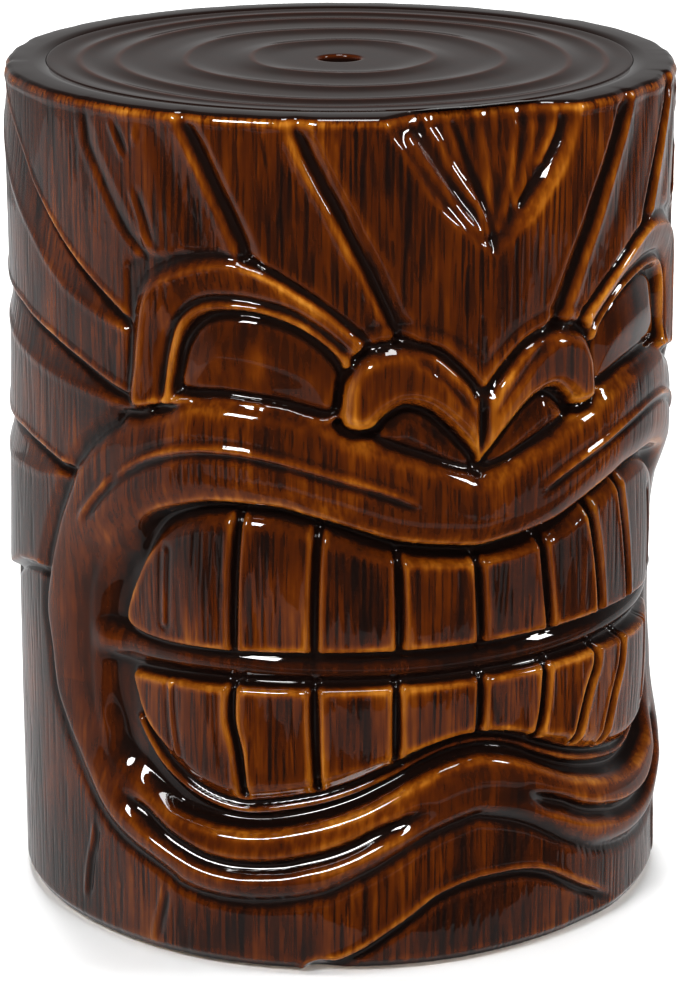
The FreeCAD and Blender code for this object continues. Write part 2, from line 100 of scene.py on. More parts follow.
def row_heights():
    """Heights from the base to the rim, closer together where the rim turns over."""
    middle = np.linspace(BASE + 1.2, HEIGHT - 3, round((HEIGHT - BASE) / ROW_STEP))
    return np.concatenate([BASE + np.array(BASE_ROWS), middle, HEIGHT - np.array(RIM_ROWS)])


ANGLES = column_angles()
HEIGHTS = row_heights()
X = ANGLES * MM_PER_DEGREE
SIDE = np.abs(ANGLES)[:, None]
Z = HEIGHTS[None, :]
GRID = (len(ANGLES), len(HEIGHTS))

# 1 at the corners of the mouth under the swell of the upper lip, fading to 0 elsewhere
MOUTH_CORNER = np.clip((SIDE - 54) / 8, 0, 1) * np.clip((250 - Z) / 30, 0, 1)


# ---- drawing on the unrolled wall

def smooth(value):
    """An S-shaped step from 0 to 1."""
    t = np.clip(value, 0, 1)
    return t * t * (3 - 2 * t)


def bump(distance, half_width):
    """1 on a line, falling smoothly to 0 at half_width from it."""
    t = np.clip(np.abs(distance) / half_width, 0, 1)
    return (1 - t * t) ** 2


def swell(share):
    """A rounded rise from 0 to 1, steep at first and level at the end."""
    return np.sin(np.pi / 2 * np.clip(share, 0, 1))


def smooth_line(points, closed):
    """Short straight steps, in millimetres, along a smooth curve through (degrees, height) points."""
    p = np.array(points, float) * (MM_PER_DEGREE, 1)
    p = np.vstack([p[-1:], p, p[:2]]) if closed else np.vstack([p[:1], p, p[-1:]])
    a, b, c, d = (p[k:len(p) - 3 + k, None] for k in range(4))
    t = np.linspace(0, 1, STEPS_PER_POINT, endpoint=False)[None, :, None]
    steps = b + 0.5 * t * (c - a + t * (2 * a - 5 * b + 4 * c - d + t * (3 * (b - c) + d - a)))
    return np.vstack([steps.reshape(-1, 2), p[-2]])


def distances(points, reach):
    """How far every grid point is from a smooth line, at most reach."""
    return distances_from(smooth_line(points, False), reach)


def region(points, reach):
    """How far every grid point is from a closed smooth line, at most reach; inside it is negative."""
    line = smooth_line(points, True)
    field = distances_from(line, reach)
    return np.where(inside(line), -field, field)


def distances_from(line, reach):
    """How far every grid point is from a chain of straight steps, at most reach."""
    field = np.full(GRID, float(reach))
    for start, end in zip(line, line[1:]):
        low, high = np.minimum(start, end) - reach, np.maximum(start, end) + reach
        columns = slice(*np.searchsorted(X, (low[0], high[0])))
        rows = slice(*np.searchsorted(HEIGHTS, (low[1], high[1])))
        x, z = X[columns, None] - start[0], HEIGHTS[None, rows] - start[1]
        run, rise = end - start
        t = np.clip((x * run + z * rise) / max(run * run + rise * rise, 1e-9), 0, 1)
        field[columns, rows] = np.minimum(field[columns, rows], np.hypot(x - t * run, z - t * rise))
    return field


def inside(line):
    """Which grid points a closed line holds, by counting its crossings under each of them."""
    held = np.zeros(GRID, bool)
    a, b = line[:-1], line[1:]
    for k in np.nonzero((X > line[:, 0].min()) & (X < line[:, 0].max()))[0]:
        cross = (a[:, 0] <= X[k]) != (b[:, 0] <= X[k])
        u, v = a[cross], b[cross]
        heights = np.sort(u[:, 1] + (v[:, 1] - u[:, 1]) * (X[k] - u[:, 0]) / (v[:, 0] - u[:, 0]))
        held[k] = np.searchsorted(heights, HEIGHTS) % 2 == 1
    return held


def both(field):
    """A field of the left half and its mirror image, whichever is nearer."""
    return np.minimum(field, field[::-1])


def whole(points):
    """A closed outline from its left half, which starts and ends on the middle line."""
    return list(points) + [(-angle, height) for angle, height in reversed(points)][1:-1]


def tapered(points, reach, taper):
    """How near a line is, from 1 on it to 0 at reach from it, fading out near both of its ends."""
    near = 1 - distances(points, reach) / reach
    for angle, height in (points[0], points[-1]):
        end = np.hypot((ANGLES[:, None] - angle) * MM_PER_DEGREE, Z - height)
        near = near * smooth(end / taper)
    return near


def set_into(relief, area, level, edge=SOFT_EDGE):
    """Puts a level inside an outline, over a short soft edge so that the grid leaves no steps."""
    relief += (level - relief) * np.clip(0.5 - area / edge, 0, 1)


def place(points, at):
    """A line of (where, value) points, read at every one of an array of places."""
    where, value = zip(*points)
    return np.interp(at, where, value)


def blurred(field, columns, rows):
    """A field smoothed by a Gaussian so many columns and rows wide, round and round the wall."""
    for axis, width in ((0, columns), (1, rows)):
        taps = np.arange(-math.ceil(2.5 * width), math.ceil(2.5 * width) + 1)
        weights = np.exp(-0.5 * (taps / width) ** 2)
        pad = [(0, 0), (0, 0)]
        pad[axis] = (len(taps) // 2, len(taps) // 2)
        padded = np.pad(field, pad, mode="wrap" if axis == 0 else "edge")
        size = field.shape[axis]
        weights = weights / weights.sum()
        field = sum(w * np.take(padded, range(k, k + size), axis) for k, w in enumerate(weights))
    return field


# ---- the lines of the carving

LEAF_EDGES = (
    ((57, 340), (61, 347.5), (64, 354), (68, 362), (72, 370), (76, 379), (80, 389), (86.5, 406), (90, 418),
     (94, 428), (98, 437), (104, 452), (118, 470)),
    ((57, 304), (64, 310), (72, 319.5), (80, 327), (88, 332.6), (92, 336), (104, 340), (117, 348),
     (130, 352), (143, 354), (155, 350), (168, 343), (180, 338)),
    ((57, 254), (77, 260), (84, 264), (92, 267), (104, 267), (116, 272), (128, 274), (142, 274), (155, 270),
     (168, 264), (180, 262)),
)
LEAF_RIDGES = (
    ((57, 338), (62.6, 342.6), (66, 345), (70, 349), (76, 356), (83, 369), (86, 376), (95, 393), (104, 410),
     (118, 440), (135, 462)),
    ((57, 300), (62, 301.5), (70, 304), (80, 307), (90, 311), (104, 316), (117, 322), (130, 326),
     (143, 328), (155, 325), (168, 318), (180, 314)),
    ((57, 250), (78, 254), (84, 250), (92, 248), (104, 244), (116, 248), (128, 250), (142, 251), (155, 248),
     (168, 242), (180, 240)),
)
LEAF_TIPS = (
    (57, 196), (85, 196), (88, 196.4), (92, 194), (96, 191), (100, 186), (104, 181), (108, 176), (112, 180),
    (116, 186), (123, 193), (130, 197), (136, 195), (142, 190), (147, 184), (152, 177), (157, 184),
    (162, 190), (167, 195), (172, 197), (180, 194)
)
# Each point of a furrow or of the crown's edge is a height and how far round from the nose it is there
FURROWS = (
    ((346, 14.6), (352, 15.2), (364, 17), (380, 19.4), (395, 22), (408, 24), (422, 26.5), (437, 29),
     (452, 31)),
    ((382, 38.8), (386, 39.3), (393, 40), (406, 42), (418, 44), (431, 46), (443, 48), (455, 50)),
    ((380, 56.2), (392, 60.2), (402, 62.6), (412, 64.6), (424, 67), (434, 69), (452, 70)),
)
FOREHEAD_FOOT = ((0, 304), (5, 320), (10, 330))
CROWN_LEFT = (
    (384, 1), (388, -0.5), (394.5, -3), (402, -5.3), (409, -7.7), (418, -10), (428, -12), (439, -14),
    (448, -16), (457, -17)
)
CROWN_RIGHT = (
    (384, 2.4), (388, 3.9), (396, 6.7), (403, 9.8), (419.5, 13.8), (429.5, 15.8), (438, 17), (448, 18),
    (457, 18.6)
)
PLUME_RIDGES = (
    ((-12.4, 446), (-12, 443), (-8, 425), (-3.5, 406), (-1, 396)),
    ((-9.6, 457), (-9.3, 452), (-7.1, 441), (-5.3, 429.5), (-2.9, 418), (-0.5, 408), (0.8, 396)),
    ((1, 457), (1.1, 449), (1.3, 436), (1.7, 424), (1.5, 408), (2, 396)),
    ((8.2, 457), (7.6, 440), (6.4, 424), (4.8, 410), (3.2, 398)),
    ((11.6, 457), (10.8, 440), (8.8, 424), (6.6, 409)),
    ((14.8, 457), (13.8, 442), (11.6, 428)),
)
PLUME_FURROWS = (
    ((-3.6, 450), (-2.5, 439.5), (-1.3, 427), (0.3, 414.5), (1.5, 402), (1.9, 387)),
    ((16.2, 450), (15, 439.5), (13, 429.5), (10.6, 418), (7.6, 408)),
)
BROW = (
    (-60.7, 303), (-60.7, 322), (-60.7, 340), (-60.7, 360), (-60.5, 376), (-57, 381.5), (-52.8, 383),
    (-50, 386), (-44, 386.4), (-40, 384), (-36, 380), (-32, 373), (-28, 365), (-24, 355), (-21.8, 349),
    (-19.8, 342.5), (-21.8, 334)
)
BROW_CREST = (
    (-59, 303), (-58.4, 325), (-57.6, 346), (-56.8, 358), (-55.2, 366), (-52, 372), (-48.9, 376.4),
    (-45.3, 379.5), (-41.3, 381), (-38, 379), (-34.5, 374.5), (-30.5, 367.6), (-26.5, 359.5), (-23, 351),
    (-20.8, 341)
)
UNDER_EYE = ((-23.8, 322), (-24.4, 303), (-34, 308), (-46, 311), (-53, 306))
SOCKET = (
    (-53.6, 304), (-53.4, 310), (-52.8, 324.5), (-52, 337), (-50.9, 347), (-49.3, 353), (-46.9, 357.6),
    (-44, 359.5), (-40, 359.8), (-36, 358), (-32, 354.5), (-28, 347), (-25, 339.5), (-22.4, 332)
)
EYE = (
    (-51.4, 313.5), (-51.2, 328), (-49.8, 340), (-47.6, 348.5), (-45, 352.6), (-42, 354), (-38, 354),
    (-34, 351), (-30, 346), (-26.4, 338), (-24.4, 330), (-24, 322), (-24.4, 313), (-25.6, 306),
    (-29, 307.5), (-33, 310.5), (-38, 312.5), (-44, 313.6)
)
NOSE = (
    (0, 311), (-0.9, 314), (-2.9, 322), (-5.3, 329.5), (-8, 336.4), (-10.9, 340), (-13.3, 342), (-16, 342),
    (-18.4, 340), (-20.4, 337), (-21.6, 333), (-22.6, 327), (-23.4, 321), (-23.8, 312), (-24, 304),
    (-23.3, 298.6), (-20.8, 296.4), (-18.4, 298.3), (-16.9, 303), (-14.9, 307.6), (-12.9, 309.5),
    (-10, 307), (-7.7, 302), (-5.3, 295), (-2.9, 287), (-1, 280.5), (0, 277)
)
NOSE_FOLD = ((-14.6, 336), (-11, 333), (-8.4, 327.4), (-5.9, 319), (-3.8, 311), (-2.2, 303), (-1.2, 294))
NOSE_RIDGE = ((-13.2, 339.6), (-10.2, 337), (-7.4, 332), (-4.8, 324), (-2.8, 316), (-1.2, 308))
NOSTRIL = (
    (-2, 275), (-3.6, 280), (-6.4, 289), (-9, 296.5), (-11.6, 302), (-13.6, 302.6), (-15.6, 298.4),
    (-17.6, 293.4), (-13, 287), (-9, 282), (-5.4, 277.6)
)
LIP_TOP = (
    (-62, 298), (-58, 300), (-54, 304), (-52, 308.5), (-50, 310), (-44, 310.8), (-38, 309.8), (-32, 307),
    (-26, 303), (-23, 297.5), (-19, 293.5), (-16, 289), (-13, 285.4), (-9, 280.8), (-5.3, 276), (-2, 271.8),
    (0, 269.5)
)
LIP_SIDE = (
    (-63.8, 292), (-65.8, 287), (-68, 281), (-70, 276), (-72, 269.5), (-74.5, 261), (-76, 252), (-78, 241),
    (-80, 229.5), (-82.9, 208), (-84, 196), (-85, 184.5), (-85.3, 172), (-84.5, 162), (-83.7, 152),
    (-82.3, 130), (-78.9, 112), (-76.5, 101), (-74.5, 92), (-71.7, 81), (-68.9, 72), (-65.8, 65),
    (-61.8, 58.5), (-57.8, 53.5), (-54, 48), (-52, 44), (-48, 41), (-44, 39.8), (-39, 39.8), (-34, 41.6),
    (-30, 44), (-26, 47.5), (-22, 54), (-18, 60.5), (-14, 68), (-10, 75), (-6, 80), (-2, 83.5), (0, 84.6)
)
LIP_RIDGES = (
    (((-64.6, 257), (-62, 266.5), (-59.6, 272), (-57, 276.6), (-54, 280.4), (-50, 284), (-46, 285.8),
      (-41, 286), (-36, 284), (-31, 280.6), (-26, 276), (-20, 270.4), (-15, 264.6), (-9, 256)), (0, -3.8)),
    (((-74, 228), (-71.6, 238), (-69.2, 247), (-66.9, 254.5), (-64.6, 262), (-62.8, 267)), (1.3, -1)),
)
LIPS = whole(LIP_TOP[::-1] + LIP_SIDE)
LOWER_LIP_FURROW = (
    (-68, 92), (-64, 83.5), (-60, 77), (-56, 70.5), (-52, 65), (-48, 60.6), (-44, 58.6), (-40, 58.5),
    (-34, 60.4), (-30, 63.5), (-26, 67), (-22, 72), (-18, 78.5), (-14, 84), (-10, 91), (-6, 98)
)
MOUTH = whole((
    (0, 232.3), (-5, 234), (-10, 236), (-15, 239), (-20, 244), (-24.5, 248.5), (-30, 253), (-34, 256),
    (-39.3, 257), (-43.3, 257), (-46.9, 256), (-50.9, 253), (-54.8, 249), (-58, 244.5), (-60.8, 238),
    (-63.5, 231), (-69, 215), (-72, 200), (-73, 185), (-73, 165), (-73, 145), (-72.3, 130), (-71, 118),
    (-69.4, 104), (-66, 94.6), (-61, 87.6), (-55, 82.4), (-50, 79), (-45.6, 77.2), (-41, 76.6), (-36, 78),
    (-30, 82), (-25, 86.4), (-20, 92), (-15, 99.6), (-10, 107.6), (-5, 113.4), (0, 115.6)
))
UPPER_TEETH = whole((
    (0, 226), (-5, 227), (-10, 229), (-15, 232.5), (-20, 238), (-24.5, 243.5), (-30, 248.5), (-36, 252),
    (-43, 252.4), (-48, 250), (-52, 246), (-56, 239), (-59, 228), (-61.4, 213), (-63.2, 202), (-64.8, 190),
    (-65.2, 182), (-64, 177), (-60.6, 174.4), (-55, 173.6), (-46, 174.6), (-30, 176.4), (-14, 177),
    (0, 177)
))
LOWER_TEETH = whole((
    (0, 160.4), (-14, 160), (-28, 159.4), (-36, 158.6), (-44, 157.6), (-50, 156.6), (-56, 155.6),
    (-60, 155), (-64, 153.4), (-63.4, 144), (-61.8, 132), (-59.6, 121), (-56.6, 110), (-53, 102), (-49, 96),
    (-45, 92.6), (-41, 91.6), (-37, 93), (-32, 96), (-27, 99.6), (-22, 104.6), (-18, 109.6), (-14, 115),
    (-10, 121), (-5, 126), (0, 127.6)
))
TOOTH_GAPS = (
    ((-42.4, 178), (-42.2, 200), (-41.9, 225), (-41.2, 254)),
    ((-28.3, 178), (-28.3, 200), (-28, 225), (-27.4, 248)),
    ((-13.7, 178), (-13.8, 205), (-14.2, 236)),
    ((1, 178), (0.5, 205), (0, 230)),
    ((15.3, 178), (14, 205), (12.9, 236)),
    ((28.5, 178), (26.8, 210), (24, 249)),
    ((38.4, 178), (36.6, 210), (33.5, 257)),
    ((-42.4, 165), (-42.8, 140), (-41.5, 120), (-40.8, 97)),
    ((-28.4, 165), (-28.2, 135), (-27.8, 103)),
    ((-14.2, 165), (-14.2, 140), (-14.2, 119)),
    ((1.3, 166), (1, 148), (0.7, 128)),
    ((14.8, 165), (13.8, 135), (12.6, 120)),
    ((27.6, 165), (27.5, 150), (25, 135), (22.3, 110)),
    ((37, 165), (36, 145), (33, 125), (30.6, 103)),
)
FAINT_GAPS = (
    ((-56, 185), (-55.8, 205), (-55.5, 225)),
    ((-55, 154), (-54.5, 130), (-53.5, 113)),
    ((51, 185), (50.4, 205), (49.5, 228)),
    ((50, 154), (49.4, 130), (48, 110)),
)
CHIN_FOLD = (
    (-30, 3), (-24, 9), (-20, 15), (-16, 23.5), (-12, 32), (-8, 41), (-4, 46), (0, 48.5), (4, 49),
    (8, 48.5), (12, 46), (16, 41), (20, 33.5), (24, 26), (30, 16), (35.5, 3)
)
CREASES = (
    ((-55.4, 43.5), (-56.4, 28.5), (-57.4, 16), (-58, 4)),
    ((-71.3, 67), (-72.3, 52), (-73.6, 38), (-74.8, 14)),
    ((-65, 453), (-62.6, 439), (-60.6, 427)),
    ((-58.8, 451), (-58.8, 435)),
    ((-60, 419), (-59, 410), (-57.6, 398), (-56.2, 382)),
)


# ---- depths and heights of the carving

# Millimetres; a level is measured outwards from the plain wall
TRUNK_LEVEL = -1.5
CHEEK_LEVEL = -7.0
CHEEK_FOOT = 150

LEAF_TIP_LEVEL = 2.4
LEAF_TIP_RISE_BEHIND = 2.0
LEAF_LENGTH = 120
LEAF_STEP = 4.0
LEAF_UNDERCUT = 1.6
LEAF_EDGE_SWELL = 0.7
LEAF_RIDGE_HEIGHT = 0.6
TIP_UNDERCUT = 2.2

FACETS = ((10, 5.2), (9, 4.8), (8, 1.7))  # width and depth of each furrow's facet
FURROW_WALL_WIDTH = 4.4
FACET_CURVE = 1.3
LOCK_CREST_SHARE = 0.18
FACET_CREST = 0.4
LOCK_HOLLOW = 0.9

CROWN_TIP = 384
CROWN_DEPTH = 14.0
CROWN_EDGE_DEPTH = 2.5
CROWN_CURVE = 1.7
PLUME_HEIGHT = 1.9
PLUME_FURROW_DEPTH = 2.4

LIP_LEVEL = 1.6
LIP_OUTER_ROLL = 4.8
LIP_TOP_ROLL = 3.0
LIP_INNER_ROLL = 5.0
CORNER_ROLL = 2.0
CORNER_WIDENING = 12
LIP_UNDERCUT = 2.2
WRINKLE_HEIGHT = 1.7
WRINKLE_DEPTH = 1.6
WRINKLE_UPPER_DEPTH = 0.4
LOWER_LIP_FURROW_DEPTH = 6.6

MOUTH_FLOOR = -15.0
MOUTH_CORNER_RISE = 5.0
BAR_MIDDLE = 168
BAR_HEIGHT = 6.0
GUM_HEIGHT = 4.2
GUM_TOP = 128
TOOTH_MIDDLES = (204, 130)
TOOTH_LEVEL = -6.4
TOOTH_SWELL = 2.0
TOOTH_SINK_ASIDE = 4.5
TOOTH_ROLL = 6.5
TOOTH_DEEPEST = -15.6
TOOTH_GAP_DEPTH = 6.5
TOOTH_GAP_RIDGE = 0.6
FAINT_GAP_RIDGE = 0.8
FAINT_GAP_DEPTH = 0.9

CHIN_CREST = 1.2
CHIN_STEP = 2.5
CHIN_GROOVE_DEPTH = 2.5

BROW_LEVEL = 1.6
BROW_SLOPE = 6.4
BROW_CURVE = 1.6
BROW_CREST_HEIGHT = 1.0
BROW_EDGE_DROP = 2.4
BROW_UNDERCUT = 3.8
TEMPLE_DROP = 3.4
SOCKET_FURROW_DEPTH = 1.6
SOCKET_RIDGE_HEIGHT = 3.6
EYE_GROOVE_LEVEL = -9.5
EYE_LEVEL = -8.6
EYE_EDGE_RISE = 2.2
EYE_SWELL = 3.4

NOSE_LEVEL = -4.5
NOSE_SWELL = 8.2
NOSE_FOLD_DEPTH = 2.2
NOSE_RIDGE_HEIGHT = 2.4
NOSE_STEP = 0.5
NOSE_UNDERCUT = 4.6
NOSTRIL_LEVEL = -7.0
NOSTRIL_EDGE_RISE = 1.4
NOSTRIL_SWELL = 2.8

CREASE_RIDGE = 1.1
CREASE_DEPTH = 1.2
UNEVENNESS = 0.8
UNEVENNESS_WAVES = 14

RIM_BAND = 15
RIM_BAND_DEPTH = 0.6
RIM_BAND_SHARE = 0.65
RIM_BEAD = 0.5
RIM_RAGGEDNESS = 0.5
RIM_ROUNDING = 4
FOOT_INSET = 2.4
FOOT_ROUNDING = 5

GOUGE_COUNT = 6400
GOUGE_DEPTH = 0.3
GOUGE_LENGTHS = (10, 56)
GOUGE_WIDTHS = (0.75, 1.5)
GOUGE_REACH = 1.6
GOUGE_LEAN = 0.35

# How much of the grain shows, from 0 to 1, and the slope that leaves none of it
GRAIN_ON_LOWER_LIP = 0.3
GRAIN_ON_UPPER_LIP = 0.8
UPPER_LIP_FOOT = 235
GRAIN_ON_NOSE = 0.7
GRAINLESS_SLOPE = 0.6

# How much thicker the glaze lies, as a share of the step from clear to black
THICK_ON_FLANKS = 0.09
THICK_ON_LIPS = 0.02
THICK_ON_LOWER_LIP = 0.12
LOWER_LIP_TOP = 140
THICK_IN_MOUTH = 0.18
THICK_ON_BAR = 0.3
THICK_ON_TEETH = (0.06, 0.0)
THICK_ON_NOSE = 0.02
THICK_IN_NOSTRILS = 0.2
THICK_ON_EYES = 0.1
THICK_ON_RIM = 0.9
THIN_ON_BROW = 0.2
THIN_ON_RIM_EDGE = 0.6
THIN_ON_SWELLS = 0.12


# ---- carving

def flank_levels():
    """The overlapping leaves on the flanks and the back, and the bare trunk under their tips."""
    tips = place(LEAF_TIPS, SIDE)
    over = np.clip((Z - tips) / 2 + 0.5, 0, 1)
    tip_level = LEAF_TIP_LEVEL + LEAF_TIP_RISE_BEHIND * smooth((SIDE - 80) / 60)
    leaf = tip_level * (1 - np.clip((Z - tips) / LEAF_LENGTH, 0, 1))
    level = TRUNK_LEVEL + over * (leaf - TRUNK_LEVEL)
    level -= TIP_UNDERCUT * bump(Z - tips + 3, 4) * (Z < tips)
    for edges, ridges in zip(LEAF_EDGES, LEAF_RIDGES):
        edge, ridge = place(edges, SIDE), place(ridges, SIDE)
        under = np.clip((Z - ridge) / (edge - ridge), 0, 1) * np.clip((edge - Z) / 2 + 0.5, 0, 1)
        level -= LEAF_STEP * under
        level -= LEAF_UNDERCUT * bump(Z - edge + 2.5, 3.5) * (Z < edge)
        level += LEAF_EDGE_SWELL * bump(Z - edge - 2.5, 3.5) * (Z > edge)
        level += LEAF_RIDGE_HEIGHT * bump(Z - ridge, 4)
    return level


def forehead_levels():
    """Broad locks of hair between furrows with a steep outer wall and a facet on the side of the nose."""
    level = np.zeros(GRID)
    for furrow, (width, deep) in zip(FURROWS, FACETS):
        away = (SIDE - place(furrow, Z)) * MM_PER_DEGREE
        outer_wall = np.clip(1 - away / FURROW_WALL_WIDTH, 0, 1)
        facet = np.clip(1 + away / width, 0, 1) ** FACET_CURVE
        level -= deep * np.where(away > 0, outer_wall, facet)
        level += LOCK_CREST_SHARE * deep * bump(away - 5.5, 5)
        level += FACET_CREST * bump(away + width + 1, 3)
        level -= LOCK_HOLLOW * bump(away - 20, 13)
    return level


def crown_depth():
    """The sunken tuft over the nose, deepest at the rim."""
    left, right = place(CROWN_LEFT, Z), place(CROWN_RIGHT, Z)
    inwards = np.minimum(ANGLES[:, None] - left, right - ANGLES[:, None]) * MM_PER_DEGREE
    depth = CROWN_DEPTH * np.clip((Z - CROWN_TIP) / 70, 0, 1) + CROWN_EDGE_DEPTH
    wall = 16 + 18 * np.clip((Z - 410) / 47, 0, 1)
    hollow = depth * (1 - np.clip(1 - inwards / wall, 0, 1) ** CROWN_CURVE)
    return np.where((inwards > 0) & (Z > CROWN_TIP), hollow, 0)


def carve_crown(relief):
    """The sunken tuft with its plumes and furrows."""
    depth = crown_depth()
    strength = smooth(depth / 5)
    relief -= depth
    for line in PLUME_RIDGES:
        relief += PLUME_HEIGHT * strength * bump(distances(line, 8), 4.4)
    for line in PLUME_FURROWS:
        relief -= PLUME_FURROW_DEPTH * strength * bump(distances(line, 8), 3.6)


def crease(line, half_width, taper):
    """A furrow along a line of both halves of the face, from 1 in its bottom to 0, with tapered ends."""
    near = tapered(line, half_width, taper)
    near = np.maximum(near, near[::-1])
    return near * near * (3 - 2 * near)


def carve_lips(relief):
    """The lips: a swollen band round the mouth, wrinkled above it and parted in two rolls under it."""
    area = region(LIPS, 40)
    mouth = region(MOUTH, 40)
    top = both(distances(LIP_TOP, 30))
    level = LIP_LEVEL - LIP_OUTER_ROLL * (1 - swell(-area / 9)) - LIP_TOP_ROLL * (1 - swell(top / 26))
    roll, width = LIP_INNER_ROLL + CORNER_ROLL * MOUTH_CORNER, 15 + CORNER_WIDENING * MOUTH_CORNER
    level -= roll * (1 - swell(mouth / width))
    for ridge, (aside, down) in LIP_RIDGES:
        below = [(angle + aside, height + down) for angle, height in ridge]
        above = [(angle - aside, height - down) for angle, height in ridge]
        level = level + WRINKLE_HEIGHT * crease(ridge, 2.3, 16) - WRINKLE_DEPTH * crease(below, 3, 18)
        level -= WRINKLE_UPPER_DEPTH * crease(above, 3, 18)
    level -= LOWER_LIP_FURROW_DEPTH * crease(LOWER_LIP_FURROW, 7.5, 36)
    relief -= LIP_UNDERCUT * bump(area, 8) * (area > 0)
    set_into(relief, area, level)


def carve_mouth(relief):
    """The open mouth with its two rows of teeth, parted by a smooth bar."""
    mouth = region(MOUTH, 30)
    gum = region(LOWER_TEETH, 16)
    floor = MOUTH_FLOOR + BAR_HEIGHT * bump(Z - BAR_MIDDLE, 12)
    floor = floor + GUM_HEIGHT * bump(gum - 4.8, 3.8) * (Z < GUM_TOP)
    floor += MOUTH_CORNER_RISE * smooth((SIDE - 64) / 8)
    relief += (floor - relief) * smooth((1 - mouth) / (5 + CORNER_WIDENING * MOUTH_CORNER))
    gaps = np.minimum.reduce([distances(gap, 8) for gap in TOOTH_GAPS])
    faint = np.minimum.reduce([distances(gap, 8) for gap in FAINT_GAPS])
    upper_width = 1.8 + 9 * smooth((Z - 212) / 25)
    lower_width = 2.6 + 10 * smooth((130 - Z) / 22)
    rows = zip((UPPER_TEETH, LOWER_TEETH), TOOTH_MIDDLES, (upper_width, lower_width))
    for teeth, middle, width in rows:
        row = region(teeth, 16)
        level = TOOTH_LEVEL + TOOTH_SWELL * (1 - ((Z - middle) / 50) ** 2)
        level = level - TOOTH_SINK_ASIDE * smooth((SIDE - 44) / 20)
        level -= TOOTH_ROLL * (1 - swell(-row / width))
        level = level - TOOTH_GAP_DEPTH * bump(gaps, 3.2) + TOOTH_GAP_RIDGE * bump(gaps - 4.4, 2.6)
        level = level + FAINT_GAP_RIDGE * bump(faint, 1.8) - FAINT_GAP_DEPTH * bump(faint - 2.8, 2.2)
        set_into(relief, row, np.maximum(level, TOOTH_DEEPEST), 2)


def carve_chin(relief):
    """The fold under the lower lip, which fades on the right: its crest, the step under it and a groove."""
    fold = distances(CHIN_FOLD, 20)
    under = region([(-31, -40)] + list(CHIN_FOLD) + [(36.5, -40)], 30)
    fade = 1 - smooth((ANGLES[:, None] - 24) / 10)
    relief += CHIN_CREST * fade * bump(fold - 1, 4) * (under > 0)
    sunk = CHIN_STEP * smooth(-under / 2) + CHIN_GROOVE_DEPTH * bump(fold - 2.5, 5)
    relief -= fade * sunk * (under < 0)


def carve_eyes(relief):
    """The brow band, which slopes in to a thin ridge and out to the temple, and the bulging eye."""
    area = both(region(BROW + UNDER_EYE, 40))
    crest = both(region(BROW_CREST + UNDER_EYE, 40))
    outer, ridge = both(distances(BROW, 60)), both(distances(SOCKET, 60))
    eye = both(region(EYE, 30))
    inwards = np.clip(-crest, 0, None)
    share = inwards / (inwards + ridge + 1e-6)
    level = BROW_LEVEL - BROW_SLOPE * share ** BROW_CURVE - TEMPLE_DROP * smooth(crest / 8)
    level = level + BROW_CREST_HEIGHT * bump(crest, 2.6) - SOCKET_FURROW_DEPTH * bump(ridge - 4.2, 2.4)
    set_into(level, eye - 2.6, EYE_GROOVE_LEVEL, 3)
    set_into(level, eye, EYE_LEVEL + EYE_EDGE_RISE * swell(-eye / 4) + EYE_SWELL * smooth(-eye / 24))
    level += SOCKET_RIDGE_HEIGHT * bump(ridge, 2.9)
    sharp = 0.1 + 0.9 * smooth((45 - SIDE) / 9)
    relief -= BROW_UNDERCUT * sharp * bump(outer, 3.6) * (area > 0)
    set_into(relief, area, level - BROW_EDGE_DROP * sharp * bump(outer, 3))


def carve_nose(relief):
    """Two thick wings that meet in the middle, each with a thin ridge on top and a nostril below."""
    wings = both(region(NOSE, 16))
    level = NOSE_LEVEL + NOSE_SWELL * swell(-wings / 9)
    level -= NOSE_FOLD_DEPTH * crease(NOSE_FOLD, 3.0, 18)
    level += NOSE_RIDGE_HEIGHT * crease(NOSE_RIDGE, 2.6, 12)
    over = smooth((Z - 308) / 8) * smooth((23 - SIDE) / 3) * (wings > 0)
    relief += over * NOSE_STEP * (bump(wings - 6.5, 2.4) - bump(wings - 11, 2.6))
    relief -= NOSE_UNDERCUT * bump(wings, 4.4) * (wings > 0)
    set_into(relief, wings, level)
    nostrils = both(region(NOSTRIL, 16))
    level = NOSTRIL_LEVEL + NOSTRIL_EDGE_RISE * swell(-nostrils / 3) + NOSTRIL_SWELL * smooth(-nostrils / 12)
    set_into(relief, nostrils, level)


def turn_over_ends(relief):
    """The softened band under the rim, the rounded rim itself and the base drawn in to the foot."""
    band = smooth((Z - (HEIGHT - RIM_BAND)) / 13)
    plain = -crown_depth() - RIM_BAND_DEPTH
    turn = np.radians(ANGLES)[:, None]
    ragged = np.sin(23 * turn + 1.1 * np.sin(9 * turn)) * np.sin(5 * turn + 0.7) + 0.5 * np.sin(41 * turn + 2)
    bead = RIM_BEAD * bump(Z - (HEIGHT - 5), 3)
    relief += RIM_BAND_SHARE * band * (plain - relief) + bead + RIM_RAGGEDNESS * band * ragged
    over_rim = np.clip((Z - HEIGHT + RIM_ROUNDING) / RIM_ROUNDING, 0, 1)
    relief -= (BODY_RADIUS - RIM_RADIUS) * (1 - np.sqrt(1 - over_rim ** 2))
    relief -= FOOT_INSET * (1 - smooth((Z - BASE) / FOOT_ROUNDING))


